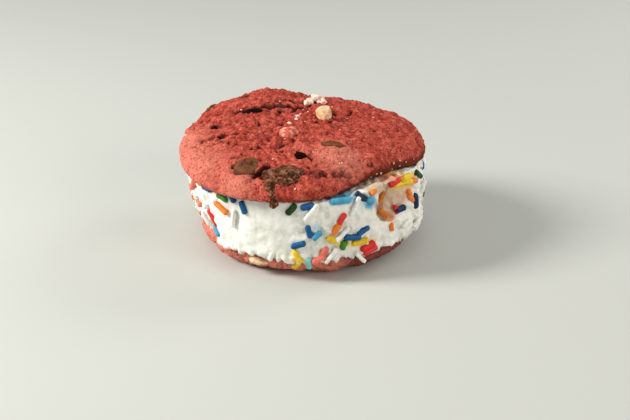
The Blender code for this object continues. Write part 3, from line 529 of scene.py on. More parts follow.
def swelling(x, y):
    """The soft rises and hollows of the upper cookie's top at a point."""
    total = 0 * x
    for x0, y0, spread, rise in SWELLS:
        off = np.hypot(x - x0 * MM, y - y0 * MM) / (spread * MM)
        total = total + rise * MM * np.exp(-(off**2))
    return total


def crack_depth(x, y, cracks, bend):
    """How deep the cracks cut at a point of the upper cookie's top. Their wander is a wave and a reach."""
    deepest = 0 * x
    for x0, y0, x1, y1, width, depth in cracks:
        start = np.array([x0, y0]) * MM
        run = np.array([x1 - x0, y1 - y0]) * MM
        here = np.stack([x, y], axis=-1) - start
        along = np.clip(here @ run / (run @ run), 0, 1)
        sway = uneven(np.stack([x, y, 0 * x + depth], axis=-1), *bend)
        off = np.linalg.norm(here - along[..., None] * run, axis=-1) + sway
        deepest = np.maximum(deepest, depth * MM * np.exp(-((off / (width * MM)) ** 2)))
    return deepest


def ice_hang(bearing):
    """Height of the lower edge of the ice cream: it hangs in uneven tongues."""
    turned = (np.asarray(bearing) + 180) % 360 - 180
    first, last = ICE_TONGUES[0], ICE_TONGUES[-1]
    stops = np.array([(last[0] - 360, last[1]), *ICE_TONGUES, (first[0] + 360, first[1])], dtype=float)
    after = np.clip(np.searchsorted(stops[:, 0], turned, side="right"), 1, len(stops) - 1)
    low, high = stops[after - 1], stops[after]
    plain = low[..., 1] + (high[..., 1] - low[..., 1]) * smooth(low[..., 0], high[..., 0], turned)
    ragged = plain * MM + uneven(outward(bearing), *TONGUE_WOBBLE)
    return np.minimum(ragged, HANG_LIMIT)


def ice_top(bearing, reach):
    """Height of the ice cream's top, which follows the tilted cookie's underside."""
    tilted = -reach * np.cos(np.radians(bearing)) * math.tan(TOP_TILT)
    curl = top_curl(bearing) * smooth(CURL_STARTS, 1.0, reach / top_radius(bearing))
    return TOP_BASE - GAP + tilted + curl


def hanging(bearing):
    """1 where the lip hangs round the lower cookie, and 0 where the ice cream stops on top of it."""
    return smooth(0, 0.5 * MM, LOW_HEIGHT - ice_hang(bearing))


def off_spot(bearing, height, middle, middle_height, wide, tall):
    """How far a place on the ice cream's side is from a spot's middle, in its half sizes and squared."""
    across = np.radians(apart(bearing, middle)) * ICE_RADIUS / (wide * MM)
    up = (height - middle_height * MM) / (tall * MM)
    return across**2 + up**2


def ice_radius(bearing, height):
    """The side of the ice cream: a soft barrel, lumpy and hollowed in two places."""
    low, high = ice_hang(bearing), ice_top(bearing, ICE_RADIUS)
    share = (height - low) / (high - low)
    barrel = ICE_BULGE * np.sin(math.pi * np.clip(share, 0, 1))
    edge = smooth(ICE_SHOULDER_STARTS, 1.0, share) ** 2
    shoulder = ICE_SHOULDER * (edge + curl_share(bearing) * smooth(ICE_SLOPE_STARTS, 1.0, share))
    here = outward(bearing) * ICE_RADIUS
    here[..., 2] = height
    sunk = sum(deep * MM * np.exp(-off_spot(bearing, height, *spot)) for *spot, deep in HOLLOWS)
    lean = ICE_LEAN * np.sin(np.radians(bearing))
    left = np.maximum(0.0, -np.sin(np.radians(bearing)))
    tuck = ICE_TUCK * left**2 * (1 - np.clip(share, 0, 1)) ** ICE_TUCK_CURVE
    side = ICE_RADIUS + lean + barrel - shoulder + lumps(here, ICE_LUMPS) - sunk - tuck
    short = low_radius(bearing) + ICE_LIP + ICE_LIP_THICK - side
    return side + np.maximum(0.0, short) * hanging(bearing)


def add_object(name, data):
    obj = bpy.data.objects.new(name, data)
    bpy.context.scene.collection.objects.link(obj)
    return obj


def make_mesh(name, points, faces):
    """An object of its own from an array of points and a list of faces, shaded smooth."""
    mesh = bpy.data.meshes.new(name)
    mesh.from_pydata(points.tolist(), [], faces)
    mesh.shade_smooth()
    mesh.update()
    return add_object(name, mesh)


def points_of(obj):
    flat = np.empty(len(obj.data.vertices) * 3)
    obj.data.vertices.foreach_get("co", flat)
    return flat.reshape(-1, 3)


def faces_of(obj):
    return [list(polygon.vertices) for polygon in obj.data.polygons]


def set_points(obj, points):
    obj.data.vertices.foreach_set("co", np.ascontiguousarray(points).ravel())
    obj.data.update()


def push_out(obj, amounts):
    """Moves each point along the skin's own normal."""
    normals = np.empty(len(obj.data.vertices) * 3)
    obj.data.vertex_normals.foreach_get("vector", normals)
    set_points(obj, points_of(obj) + normals.reshape(-1, 3) * amounts[:, None])


def store(obj, name, values):
    """Keeps one number, or one colour, for each point, for the material to read."""
    if values.ndim == 1:
        layer = obj.data.attributes.new(name, "FLOAT", "POINT")
        layer.data.foreach_set("value", values.astype(np.float32))
    else:
        layer = obj.data.attributes.new(name, "FLOAT_COLOR", "POINT")
        whole = np.column_stack([values, np.ones(len(values))]).astype(np.float32)
        layer.data.foreach_set("color", whole.ravel())


def disc_grid(count):
    """Even points of a unit disc, in rows of count, and their square faces."""
    line = np.linspace(-1, 1, count)
    across, up = np.meshgrid(line, line)
    wide = np.abs(across) > np.abs(up)
    reach = np.where(wide, across, up)
    safe = np.where(reach == 0, 1, reach)
    angle = np.where(wide, math.pi / 4 * up / safe, math.pi / 2 - math.pi / 4 * across / safe)
    points = np.stack([reach * np.cos(angle), reach * np.sin(angle)], axis=-1).reshape(-1, 2)
    corner = (np.arange(count - 1)[:, None] * count + np.arange(count - 1)).ravel()
    faces = np.stack([corner, corner + 1, corner + count + 1, corner + count], axis=-1)
    return points, faces


def grid_edge(count):
    """The numbers of a square grid's outer points, anticlockwise."""
    run = np.arange(count - 1)
    right, top = run * count + count - 1, count * count - 1 - run
    return np.concatenate([run, right, top, (count - 1 - run) * count])


def cookie_skin(name, count, radius_at, curl_at, height, corner, fullness):
    """A domed disc with a rounded edge, in its own frame, and each point's way out from its top's middle.

    That way is 0 to 1 over the dome, 1 to 2 round the edge's lower corner, and 2 to 3 on the underside.
    """
    shares = np.linspace(0, 1, DOME_STEPS)
    mean_radius = float(np.mean(radius_at(np.arange(0.0, 360.0, 5.0))))
    steps = np.hypot(np.diff(shares) * mean_radius, np.diff(dome(shares, height, corner, fullness)))
    over = np.concatenate([[0], np.cumsum(steps)])
    quarter = math.pi / 2
    round_corner = quarter * corner
    disc, faces = disc_grid(count)
    travelled = np.clip(np.hypot(disc[:, 0], disc[:, 1]), 0, 1) * (over[-1] + round_corner + UNDERSIDE)
    share = np.interp(travelled, over, shares)
    turn = np.clip((travelled - over[-1]) / round_corner, 0, 1) * quarter
    under = np.clip((travelled - over[-1] - round_corner) / UNDERSIDE, 0, 1)
    bearing = bearing_of(disc)
    radius, curl = radius_at(bearing), curl_at(bearing)
    inner = radius - CORNER_RUN * corner
    on_dome = travelled <= over[-1]
    edge_reach = inner + (radius - inner) * np.cos(turn) - under * UNDERSIDE
    reach = np.where(on_dome, share * radius, edge_reach)
    edge_lift = corner * (1 - np.sin(turn)) + curl * smooth(CURL_STARTS, 1.0, reach / radius)
    points = outward(bearing) * reach[:, None]
    points[:, 2] = np.where(on_dome, dome(share, height, corner + curl, fullness), edge_lift)
    way = np.where(on_dome, share, 1 + turn / quarter + under)
    middle = len(points)
    rim = grid_edge(count)
    fan = [[int(b), int(a), middle] for a, b in zip(rim, np.roll(rim, -1))]
    obj = make_mesh(name, np.vstack([points, [[0, 0, 0]]]), faces.tolist() + fan)
    return obj, np.append(way, 3.0)


def pose_top(points):
    """From the upper cookie's own frame to the sandwich's."""
    cos, sin = math.cos(TOP_TILT), math.sin(TOP_TILT)
    x, y, z = points[..., 0], points[..., 1], points[..., 2]
    return np.stack([x, y * cos - z * sin, y * sin + z * cos + TOP_BASE], axis=-1)


def pose_low(points):
    """From the lower cookie's own frame to the sandwich's: it is turned over."""
    return points * [1, -1, -1] + [0, 0, LOW_HEIGHT]


def crumb_relief(points, rough):
    """The torn skin of baked dough: grit, shallow craters and thin creases, most where rough is near 1."""
    moved = warped(points, *CRUMB_WARP)
    everywhere, added = GRIT_SHARES
    craters = np.clip(uneven(moved, CRATER_WAVE, 1.0) - CRATER_RIM, 0, 1) * CRATER_DEPTH
    grit = lumps(points, GRIT) * (everywhere + added * rough)
    return grit - craters * rough - creases(moved, *CREASES) * rough


def seen_at(trees, x, y):
    """The point of the sandwich that the photograph shows at a pixel, with its normal."""
    per_pixel = SENSOR / CAMERA_LENS / PHOTO_WIDE
    right = Vector((1, 0, 0)) * (x - PHOTO_WIDE / 2) * per_pixel
    ray = (right - CAMERA_UP * (y - PHOTO_HIGH / 2) * per_pixel - CAMERA_BACK).normalized()
    hits = [tree.ray_cast(CAMERA_PLACE, ray) for tree in trees]
    return min((hit for hit in hits if hit[0]), key=lambda hit: hit[3])[:2]


def pit_depth(obj):
    """How deep the small pits cut at each point of the upper cookie, which is still in its own frame."""
    here = pose_top(points_of(obj))
    tree = BVHTree.FromPolygons(here.tolist(), faces_of(obj))
    off = uneven(here, *PIT_BEND)
    deepest = 0 * here[:, 0]
    for x, y, width, depth in PITS:
        middle = np.array(seen_at([tree], x, y)[0])
        away = np.maximum(np.linalg.norm(here - middle, axis=1) + off, 0)
        deepest = np.maximum(deepest, depth * MM * np.exp(-((away / (width * MM)) ** PIT_STEEPNESS)))
    return deepest


def pale_and_lit_share(x, y):
    """1 in the middle of a smooth pale patch of the upper cookie, and 0 away from them. On the left rim the
    paleness is also painted light.
    """
    total = 0 * x
    for x0, y0, spread in PALE_AND_LIT_PATCHES:
        total = total + np.exp(-((x - x0 * MM) ** 2 + (y - y0 * MM) ** 2) / (spread * MM) ** 2)
    return np.clip(total, 0, 1)


def collars(x, y):
    """How far the dough swells round each chip in the upper cookie's top."""
    total = 0 * x
    for x0, y0, along, across, *_ in TOP_PIECES.values():
        off = np.hypot(x - x0 * MM, y - y0 * MM) / (0.5 * (along + across) * MM)
        total = np.maximum(total, np.exp(-(((off - COLLAR_REACH) / COLLAR_WIDTH) ** 2)))
    return COLLAR_RISE * total


def right_side(bearing):
    """1 at the upper cookie's right, where its rim is browned and painted with shade most, less at its
    back, and 0 at its left.
    """
    return smooth(*RIM_RIGHT, bearing) * (1 - RIM_BACK_LOSS * smooth(*RIM_BACK, bearing))


def rim_bake_and_shade(plain, way, lift):
    """How brown the upper cookie is at each point: its rim, ragged upwards, and all of its underside, with
    painted shade added up the rim on the right.
    """
    bearing = bearing_of(plain)
    at_corner = RIM_BROWN_AND_SHADE_CORNER * stretch(bearing, *RIM_CORNER)
    browned_and_shaded = RIM_BROWN + RIM_BROWN_AND_SHADE_RIGHT * right_side(bearing) + at_corner
    rim = 1 - smooth(*RIM_SOFT, (lift + lumps(plain, RIM_RAGGED)) / browned_and_shaded)
    return np.where(way > UNDERSIDE_WAY, UNDERSIDE_BAKE, rim)


def make_top_cookie():
    form = (TOP_HEIGHT, TOP_CORNER, TOP_FULLNESS)
    obj, way = cookie_skin("top_cookie_crumb", TOP_GRID, top_radius, top_curl, *form)
    plain = points_of(obj)
    x, y = plain[:, 0], plain[:, 1]
    bearing = bearing_of(plain)
    lift = plain[:, 2] - top_curl(bearing)
    over = np.where(way <= 1, 1.0, smooth(*TOP_FADE, lift / TOP_CORNER))
    crack = crack_depth(x, y, CRACKS, CRACK_BEND)
    push_out(obj, (swelling(x, y) + lumps(plain, TOP_LUMPS) + collars(x, y) - crack) * over)
    from_middle = (x - BROKEN["x"]) ** 2 + (y - BROKEN["y"]) ** 2
    broken = 0.5 + 0.5 * np.exp(-from_middle / BROKEN["spread"] ** 2)
    # Paler dough, which on the left rim is also painted light.
    pale = pale_and_lit_share(x, y)
    rough = np.clip(broken + uneven(plain, *BROKEN["patches"]) - PALE_SMOOTHS * pale, *BROKEN["limits"])
    detail = crumb_relief(plain, rough) * np.where(way <= 2, 1.0, TOP_UNDERSIDE_ROUGH)
    detail += uneven(plain * RIDGE_STRETCH, *RIDGES) * over * (1 - PALE_FLATTENS * pale)
    detail -= crack_depth(x, y, FINE_CRACKS, FINE_CRACK_BEND) * over + pit_depth(obj)
    push_out(obj, detail)
    # Painted shade: the colour darkens where the skin is sunk in cracks, craters and pits.
    store(obj, "pit_shade", smooth(*PIT_SHADE, crack * over - detail))
    store(obj, "pale", pale)
    # Browned underside and rim, with painted shade up the rim on the right.
    store(obj, "bake_and_shade", rim_bake_and_shade(plain, way, lift))
    drooped = points_of(obj)
    drooped[:, 2] -= RIM_DROOP * right_side(bearing) * stretch(way, *RIM_DROOP_WAY)
    set_points(obj, pose_top(drooped))
    return obj


def make_low_cookie():
    form = (LOW_HEIGHT + LOW_FLAT, LOW_CORNER, LOW_FULLNESS)
    obj, way = cookie_skin("bottom_cookie_crumb", LOW_GRID, turned_low_radius, no_curl, *form)
    plain = points_of(obj)
    skirt = smooth(*LOW_PRESSED, np.hypot(plain[:, 0], plain[:, 1]) / LOW_RADIUS)
    push_out(obj, skirt * smooth(*LOW_FADE, plain[:, 2] / LOW_CORNER) * lumps(plain, LOW_LUMPS))
    rough = np.clip(LOW_BROKEN["plain"] + uneven(plain, *LOW_BROKEN["patches"]), *LOW_BROKEN["limits"])
    detail = crumb_relief(plain, rough) * np.where(way <= 2, 1.0, LOW_BROKEN["underside"])
    push_out(obj, detail)
    # Painted shade: the colour darkens where the skin is sunk in its dents.
    store(obj, "pit_shade", smooth(*PIT_SHADE, -detail))
    store(obj, "pale", LOW_PALE["plain"] + uneven(plain, *LOW_PALE["patches"]))
    from_front = 180 - np.abs(bearing_of(plain))
    # Painted shade at the front right, kept with the browning.
    store(obj, "bake_and_shade", LOW_PAINTED_SHADE * smooth(*LOW_SHADE_BEARINGS, from_front) * (plain[:, 0] > 0))
    posed = pose_low(points_of(obj))
    posed[:, 2] = np.maximum(posed[:, 2], 0.0)
    set_points(obj, posed)
    return obj


def ice_rings(bearing):
    """The ice cream's outline as rings, from its top's edge down, round the lip and back in underneath.

    The second list has the name of each ring's stretch.
    """
    level = outward(bearing)
    hang = np.minimum(ice_hang(bearing) + lumps(level, TEETH) * hanging(bearing), HANG_LIMIT)
    bottom = LOW_HEIGHT + GAP
    edge_height = ice_top(bearing, ICE_RADIUS)
    edge, outer = ice_radius(bearing, edge_height), ice_radius(bearing, hang)
    free = outer - ICE_LIP_THICK
    inner = free + (low_radius(bearing) + ICE_LIP - free) * hanging(bearing)
    rows = [(name, step / count) for name, count in ICE_STRETCHES for step in range(count)]
    rows.append(("bottom", 1.0))
    rings = []
    for name, share in rows:
        reach, height = inner, hang
        if name == "top":
            reach = edge * (ICE_TOP_STARTS + (1 - ICE_TOP_STARTS) * share)
            height = ice_top(bearing, reach)
        elif name == "side":
            height = edge_height + (hang - edge_height) * share
            near = np.clip((height - hang) / LIP_ROUND_HEIGHT, 0, 1)
            reach = ice_radius(bearing, height) - LIP_ROUND * (1 - np.sqrt(1 - (1 - near) ** 2))
        elif name == "lip":
            reach = outer - LIP_ROUND + (inner - outer + LIP_ROUND) * share
        elif name == "wall":
            height = hang + (bottom - hang) * share
        else:
            reach = inner * (1 - ICE_BOTTOM_RUN * share)
            height = bottom
        ring = level * reach[:, None]
        ring[:, 2] = height
        rings.append(ring)
    return rings, [name for name, _ in rows]


def ice_relief(here, side, on_top):
    """How far the torn skin stands out: smoother at the front left, and scooped out at the right."""
    around = bearing_of(here)
    past_cookie = np.hypot(here[:, 0], here[:, 1]) - top_radius(around)
    showing = side + on_top * smooth(*TOP_SHOWS, past_cookie)
    calm = 1 - smooth(*CALM["edge"], apart(around, CALM["bearing"]) / CALM["wide"])
    rough = 1 - CALM["smooths"] * calm * smooth(*CALM["foot"], here[:, 2])
    left, half_wall = SCOOPED["left"], SCOOPED["wall"]
    wall = smooth(-half_wall, half_wall, around - left + uneven(here, *SCOOPED["ragged"]))
    slope = 1 - smooth(left + half_wall, SCOOPED["right"], around)
    up = (here[:, 2] - SCOOPED["height"]) / SCOOPED["tall"]
    hollow = SCOOPED["deep"] * wall * slope * np.exp(-(up**4))
    ledge = LEDGE_DROP * stretch(around, *LEDGE_BEARINGS) * (1 - smooth(*LEDGE_REACH, past_cookie)) * on_top
    crests = TORN["crest"] - np.abs(uneven(warped(here, *TORN["warp"]), TORN["wave"], 1.0))
    torn = crests * TORN["height"] + lumps(here, NODULES)
    folds = uneven(here * FOLD_STRETCH, *FOLDS)
    return (torn * rough + folds * (1 - rough) - hollow) * showing - ledge


def make_ice_cream():
    rings, names = ice_rings(np.arange(ICE_AROUND) * 360.0 / ICE_AROUND - 180)
    points = np.vstack(rings + [[[0, 0, TOP_BASE - GAP]], [[0, 0, LOW_HEIGHT + GAP]]])
    ring = np.arange(ICE_AROUND)
    following = np.roll(ring, -1)
    first = np.arange(len(rings) - 1)[:, None] * ICE_AROUND
    start, after = (first + ring).ravel(), (first + following).ravel()
    faces = np.stack([start, start + ICE_AROUND, after + ICE_AROUND, after], axis=-1).tolist()
    middle = len(rings) * ICE_AROUND
    last = middle - ICE_AROUND
    faces += [[int(a), int(b), middle] for a, b in zip(ring, following)]
    faces += [[int(last + b), int(last + a), middle + 1] for a, b in zip(ring, following)]
    obj = make_mesh("ice_cream_side", points, faces)
    side = np.append(np.repeat([name in ("side", "lip") for name in names], ICE_AROUND), [0, 0])
    on_top = np.append(np.repeat([name == "top" for name in names], ICE_AROUND), [0, 0])
    push_out(obj, ice_relief(points_of(obj), side, on_top))
    return obj


def surface_of(obj):
    """A search tree of the object's skin, in the sandwich's frame."""
    return BVHTree.FromPolygons([v.co for v in obj.data.vertices], faces_of(obj))


def on_side(tree, bearing, height):
    """The outermost point of the ice cream at this bearing and height."""
    level = level_at(bearing)
    hit = tree.ray_cast(level * FAR + UP * height, -level)[0]
    return hit if hit else level * ICE_RADIUS + UP * height


def rod_form(length, radius, bend, chance):
    """Points and faces of a rod with blunt round ends, slightly bent, along Z."""
    half = length / 2 - radius * ROD_BLUNT
    angles = [math.radians(angle) for angle in ROD_END_ANGLES]
    end = [(-half - radius * ROD_BLUNT * math.cos(angle), math.sin(angle)) for angle in angles]
    stations = end + [(half * share, 1.0) for share in ROD_STATIONS]
    stations += [(-z, wide) for z, wide in reversed(end)]
    taper = chance.uniform(-ROD_TAPER, ROD_TAPER)
    turns = [2 * math.pi * step / SPRINKLE_SIDES for step in range(SPRINKLE_SIDES)]
    points, faces = [], []
    for z, wide in stations:
        thick = radius * wide * (1 + taper * z / half)
        sway = bend * (z / half) ** 2
        points += [(thick * math.cos(turn) + sway, thick * math.sin(turn), z) for turn in turns]
    for ring in range(len(stations) - 1):
        for step in range(SPRINKLE_SIDES):
            a = ring * SPRINKLE_SIDES + step
            b = ring * SPRINKLE_SIDES + (step + 1) % SPRINKLE_SIDES
            faces.append((a, b, b + SPRINKLE_SIDES, a + SPRINKLE_SIDES))
    faces.append(tuple(range(SPRINKLE_SIDES))[::-1])
    faces.append(tuple(range(len(points) - SPRINKLE_SIDES, len(points))))
    return points, faces


def make_specks(name, places, chance):
    """Tiny crumbs, half sunk in the skin: each place is a point, a normal and a size."""
    form = bmesh.new()
    for point, normal, size in places:
        halves = [size / 2 * chance.uniform(*SPECK_HALVES) for _ in range(3)]
        turn = Matrix.Rotation(chance.uniform(0, 2 * math.pi), 4, normal)
        turn = turn @ Matrix.Rotation(chance.uniform(0, SPECK_TUMBLE), 4, "X")
        matrix = Matrix.Translation(point) @ turn @ Matrix.Diagonal((*halves, 1))
        bmesh.ops.create_icosphere(form, subdivisions=2, radius=1.0, matrix=matrix)
    mesh = bpy.data.meshes.new(name)
    form.to_mesh(mesh)
    form.free()
    mesh.shade_smooth()
    obj = add_object(name, mesh)
    push_out(obj, uneven(points_of(obj), *SPECK_RELIEF))
    return obj


def speck_places(trees, chance):
    """The white and the dark crumbs that the photograph shows, and a few white ones over the back."""
    white = [(*seen_at(trees, x, y), size * MM) for x, y, size in WHITE_SPECKS]
    dark = [(*seen_at(trees, x, y), size * MM) for x, y, size in DARK_SPECKS]
    for _ in range(BACK_SPECKS):
        level = level_at(chance.uniform(*BACK_SPECK_BEARINGS))
        place = level * TOP_RADIUS * math.sqrt(chance.uniform(*BACK_SPECK_SPREAD)) + UP * FAR
        point, normal, *_ = trees[0].ray_cast(place, -UP)
        white.append((point, normal, chance.uniform(*BACK_SPECK_SIZES)))
    return white, dark


def back_sprinkles(chance):
    """The sprinkles of the side that the photograph doesn't show, never too close to each other."""
    placed = []
    while len(placed) < BACK_SPRINKLES:
        bearing = chance.uniform(*BACK_BEARINGS)
        height = chance.uniform(*BACK_HEIGHTS)
        lean = chance.uniform(-90, 90)
        length = chance.uniform(*BACK_LENGTHS) * SPRINKLE_LENGTH
        across = [math.radians(float(apart(bearing, other[0]))) * ICE_RADIUS for other in placed]
        if all(math.hypot(off, height - other[1]) > BACK_SPACING for off, other in zip(across, placed)):
            placed.append((bearing, height, lean, length))
    return placed


def sprinkle_places():
    """Every sprinkle: colour, bearing, height, lean and length."""
    places = [
        (colour, bearing, height * MM, lean, length * MM)
        for colour, rods in FRONT_SPRINKLES.items()
        for bearing, height, lean, length in rods
    ]
    colours = list(SPRINKLE_COLOURS)
    chance = random.Random(SPRINKLE_SEED + 2)
    places += [(chance.choice(colours), *place) for place in back_sprinkles(random.Random(SPRINKLE_SEED))]
    return places


def make_sprinkles(places, tree):
    """One piece for each colour. Each rod lies on the skin between its two ends."""
    chance = random.Random(SPRINKLE_SEED + 3)
    made = {colour: ([], []) for colour in SPRINKLE_COLOURS}
    for colour, bearing, height, lean, length in places:
        level, turn = level_at(bearing), math.radians(lean)
        half = length / 2 * ROD_SEAT
        half_turn, half_rise = math.degrees(half * math.cos(turn) / ICE_RADIUS), half * math.sin(turn)
        start = on_side(tree, bearing - half_turn, height - half_rise)
        end = on_side(tree, bearing + half_turn, height + half_rise)
        middle = on_side(tree, bearing, height)
        leaning = (UP.cross(level) * math.cos(turn) + UP * math.sin(turn)).normalized()
        along = (leaning + (end - start).normalized()).normalized()
        proud, thick = (WHITE_PROUD, WHITE_THICK) if colour == "white" else (0, 1)
        proud += chance.uniform(*ROD_SINKS) * SPRINKLE_RADIUS + SPRINKLE_PROUD
        matrix = Matrix.Translation((start + end + middle) / 3 + level * proud)
        matrix = matrix @ along.to_track_quat("Z", "Y").to_matrix().to_4x4()
        matrix = matrix @ Matrix.Rotation(chance.uniform(0, 2 * math.pi), 4, "Z")
        radius = SPRINKLE_RADIUS * chance.uniform(*ROD_THICKNESS) * thick
        points, faces = rod_form(length, radius, chance.uniform(0, ROD_BEND), chance)
        all_points, all_faces = made[colour]
        base = len(all_points)
        all_points.extend(matrix @ Vector(point) for point in points)
        all_faces.extend(tuple(base + corner for corner in face) for face in faces)
    pieces = {}
    for name, (points, faces) in made.items():
        pieces[name] = make_mesh(f"sprinkles_{name}", np.array(points), faces)
    return pieces


def stain_and_shade_ice(obj):
    """The colour that the wet ice cream has drawn out of the sprinkles, and painted shade in its hollow and
    under the rim.
    """
    here = points_of(obj)
    around = bearing_of(here)
    known = {**SPRINKLE_COLOURS, **SOAKED_AND_SHADE_COLOURS}
    colour, total = np.full((len(here), 3), NEARLY_NONE), np.full(len(here), NEARLY_NONE)
    for *spot, name, share in STAINS_AND_SHADE:
        strength = share * np.exp(-(off_spot(around, here[:, 2], *spot) ** STAIN_FLATNESS))
        colour += strength[:, None] * np.array(known[name])
        total += strength
    store(obj, "stain_and_shade_colour", colour / total[:, None])
    store(obj, "stain_and_shade", np.clip(total, 0, 1))


def chunk_form(halves, salt, detail, planes, rough):
    """A lump of these half sizes in mm. With planes it is broken into that many soft facets."""
    form = bmesh.new()
    bmesh.ops.create_icosphere(form, subdivisions=detail, radius=1.0)
    directions = np.array([list(v.co.normalized()) for v in form.verts])
    faces = [[v.index for v in face.verts] for face in form.faces]
    form.free()
    across, rise = CHIP_LUMPS
    plump = 1 + rise * uneven(directions * across + [salt, 0, 0], 1.0, 1.0)
    if planes:
        chance = random.Random(salt)
        draws = [Vector([chance.gauss(0, 1) for _ in range(3)]).normalized() for _ in range(planes)]
        facing = np.clip(directions @ np.array([list(draw) for draw in draws]).T, 0, 1)
        plump = plump * FACET_SIZE * np.sum(facing**FACET_SHARPNESS, axis=1) ** (-1 / FACET_SHARPNESS)
        plump = np.clip(plump, *FACET_LIMITS)
    points = directions * (np.array(halves) * MM) * plump[:, None]
    return points + directions * (rough * lumps(points + salt, CHIP_GRAINS))[:, None], faces


def lump_form(node, salt):
    """One broken skin round several lumps that overlap."""
    points, faces = [], []
    for number, (x, y, z, *halves) in enumerate(LUMPS[node]):
        lump, corners = chunk_form(halves, salt + number, LUMP_DETAIL, *LUMP_FORM)
        base = len(points)
        points.extend((lump + np.array([x, y, z]) * MM).tolist())
        faces.extend([base + corner for corner in face] for face in corners)
    loose = make_mesh("lumps", np.array(points), faces)
    skin = loose.modifiers.new("skin", "REMESH")
    skin.mode = "VOXEL"
    skin.voxel_size = LUMP_VOXEL
    graph = bpy.context.evaluated_depsgraph_get()
    joined = add_object("joined", bpy.data.meshes.new_from_object(loose.evaluated_get(graph)))
    bpy.data.objects.remove(loose)
    push_out(joined, lumps(points_of(joined), LUMP_GRAINS))
    points, faces = points_of(joined), faces_of(joined)
    bpy.data.objects.remove(joined)
    return points, faces


def top_surface(x, y):
    """The point of the upper cookie's top over x and y, without its cracks."""
    bearing = float(bearing_of(np.array([x, y, 0.0])))
    share = math.hypot(x, y) / float(top_radius(bearing))
    height = dome(share, TOP_HEIGHT, TOP_CORNER + float(top_curl(bearing)), TOP_FULLNESS)
    return Vector((x, y, float(height + swelling(x, y))))


def seat_on_top(x, y, proud, turn):
    """Where a piece in the upper cookie's top sits: Z out of its skin, turned round it by turn degrees."""
    step = NORMAL_STEP
    slope_x = (top_surface(x + step, y).z - top_surface(x - step, y).z) / (2 * step)
    slope_y = (top_surface(x, y + step).z - top_surface(x, y - step).z) / (2 * step)
    normal = Vector((-slope_x, -slope_y, 1)).normalized()
    side = (Vector((1, 0, 0)) - normal * normal.x).normalized()
    axes = Matrix((side, normal.cross(side), normal)).transposed().to_4x4()
    place = Matrix.Translation(top_surface(x, y) + normal * proud)
    return place @ axes @ Matrix.Rotation(math.radians(turn), 4, "Z")


def seat_in_edge(radius_at, bearing, height, proud):
    """Where a piece in a cookie's edge sits: Y out of it, and Z up."""
    level = level_at(bearing)
    middle = level * (float(radius_at(bearing)) + proud) + UP * height
    return Matrix.Translation(middle) @ Matrix((UP.cross(level), level, UP)).transposed().to_4x4()


def make_piece(node, matrix, halves, finish):
    """One chip or chunk where matrix puts it, with how near its rim each point is."""
    salt = sum(map(ord, node)) % SALTS
    if node in LUMPS:
        points, faces = lump_form(node, salt)
    else:
        points, faces = chunk_form(halves, salt, CHIP_DETAIL, *CHIP_FORMS[finish])
    shares = points / (np.array(halves) * MM)
    if node in WEDGES:
        wedge = WEDGES[node]
        points[:, 0] *= 1 + wedge["back"] * shares[:, 1] + wedge["up"] * shares[:, 2]
        over = np.maximum(shares[:, 2] - wedge["flat"] - wedge["slope"] * shares[:, 1], 0)
        points[:, 2] -= over * halves[2] * MM
        shares = points / (np.array(halves) * MM)
    obj = make_mesh(node + "_piece", np.array([matrix @ Vector(point) for point in points]), faces)
    store(obj, "rim", np.hypot(shares[:, 0], shares[:, 1]))
    return obj, node, finish


def make_pieces():
    """The chips and chunks of both cookies, each with its node and the name of its finish."""
    pose = Matrix.Translation((0, 0, TOP_BASE)) @ Matrix.Rotation(TOP_TILT, 4, "X")
    made = []
    for node, (x, y, along, across, through, turn, proud, finish) in TOP_PIECES.items():
        seat = seat_on_top(x * MM, y * MM, proud * MM, 0 if node in LUMPS else turn)
        made.append(make_piece(node, pose @ seat, (along, across, through), finish))
    edges = ((TOP_EDGE_PIECES, top_radius, pose), (LOW_EDGE_PIECES, low_radius, Matrix()))
    for pieces, radius_at, own in edges:
        for node, (bearing, height, along, up, out, proud, finish) in pieces.items():
            seat = seat_in_edge(radius_at, bearing, height * MM, proud * MM)
            made.append(make_piece(node, own @ seat, (along, out, up), finish))
    return made


class Value:
    """An output of a material's node. Arithmetic on it adds Math nodes."""

    def __init__(self, finish, socket):
        self.finish = finish
        self.socket = socket

    def reckon(self, operation, *values):
        return self.finish.add("ShaderNodeMath", {"operation": operation}, dict(enumerate(values)))

    def __add__(self, other):
        return self.reckon("ADD", self, other)

    def __sub__(self, other):
        return self.reckon("SUBTRACT", self, other)

    def __rsub__(self, other):
        return self.reckon("SUBTRACT", other, self)

    def __mul__(self, other):
        return self.reckon("MULTIPLY", self, other)

    __radd__ = __add__
    __rmul__ = __mul__


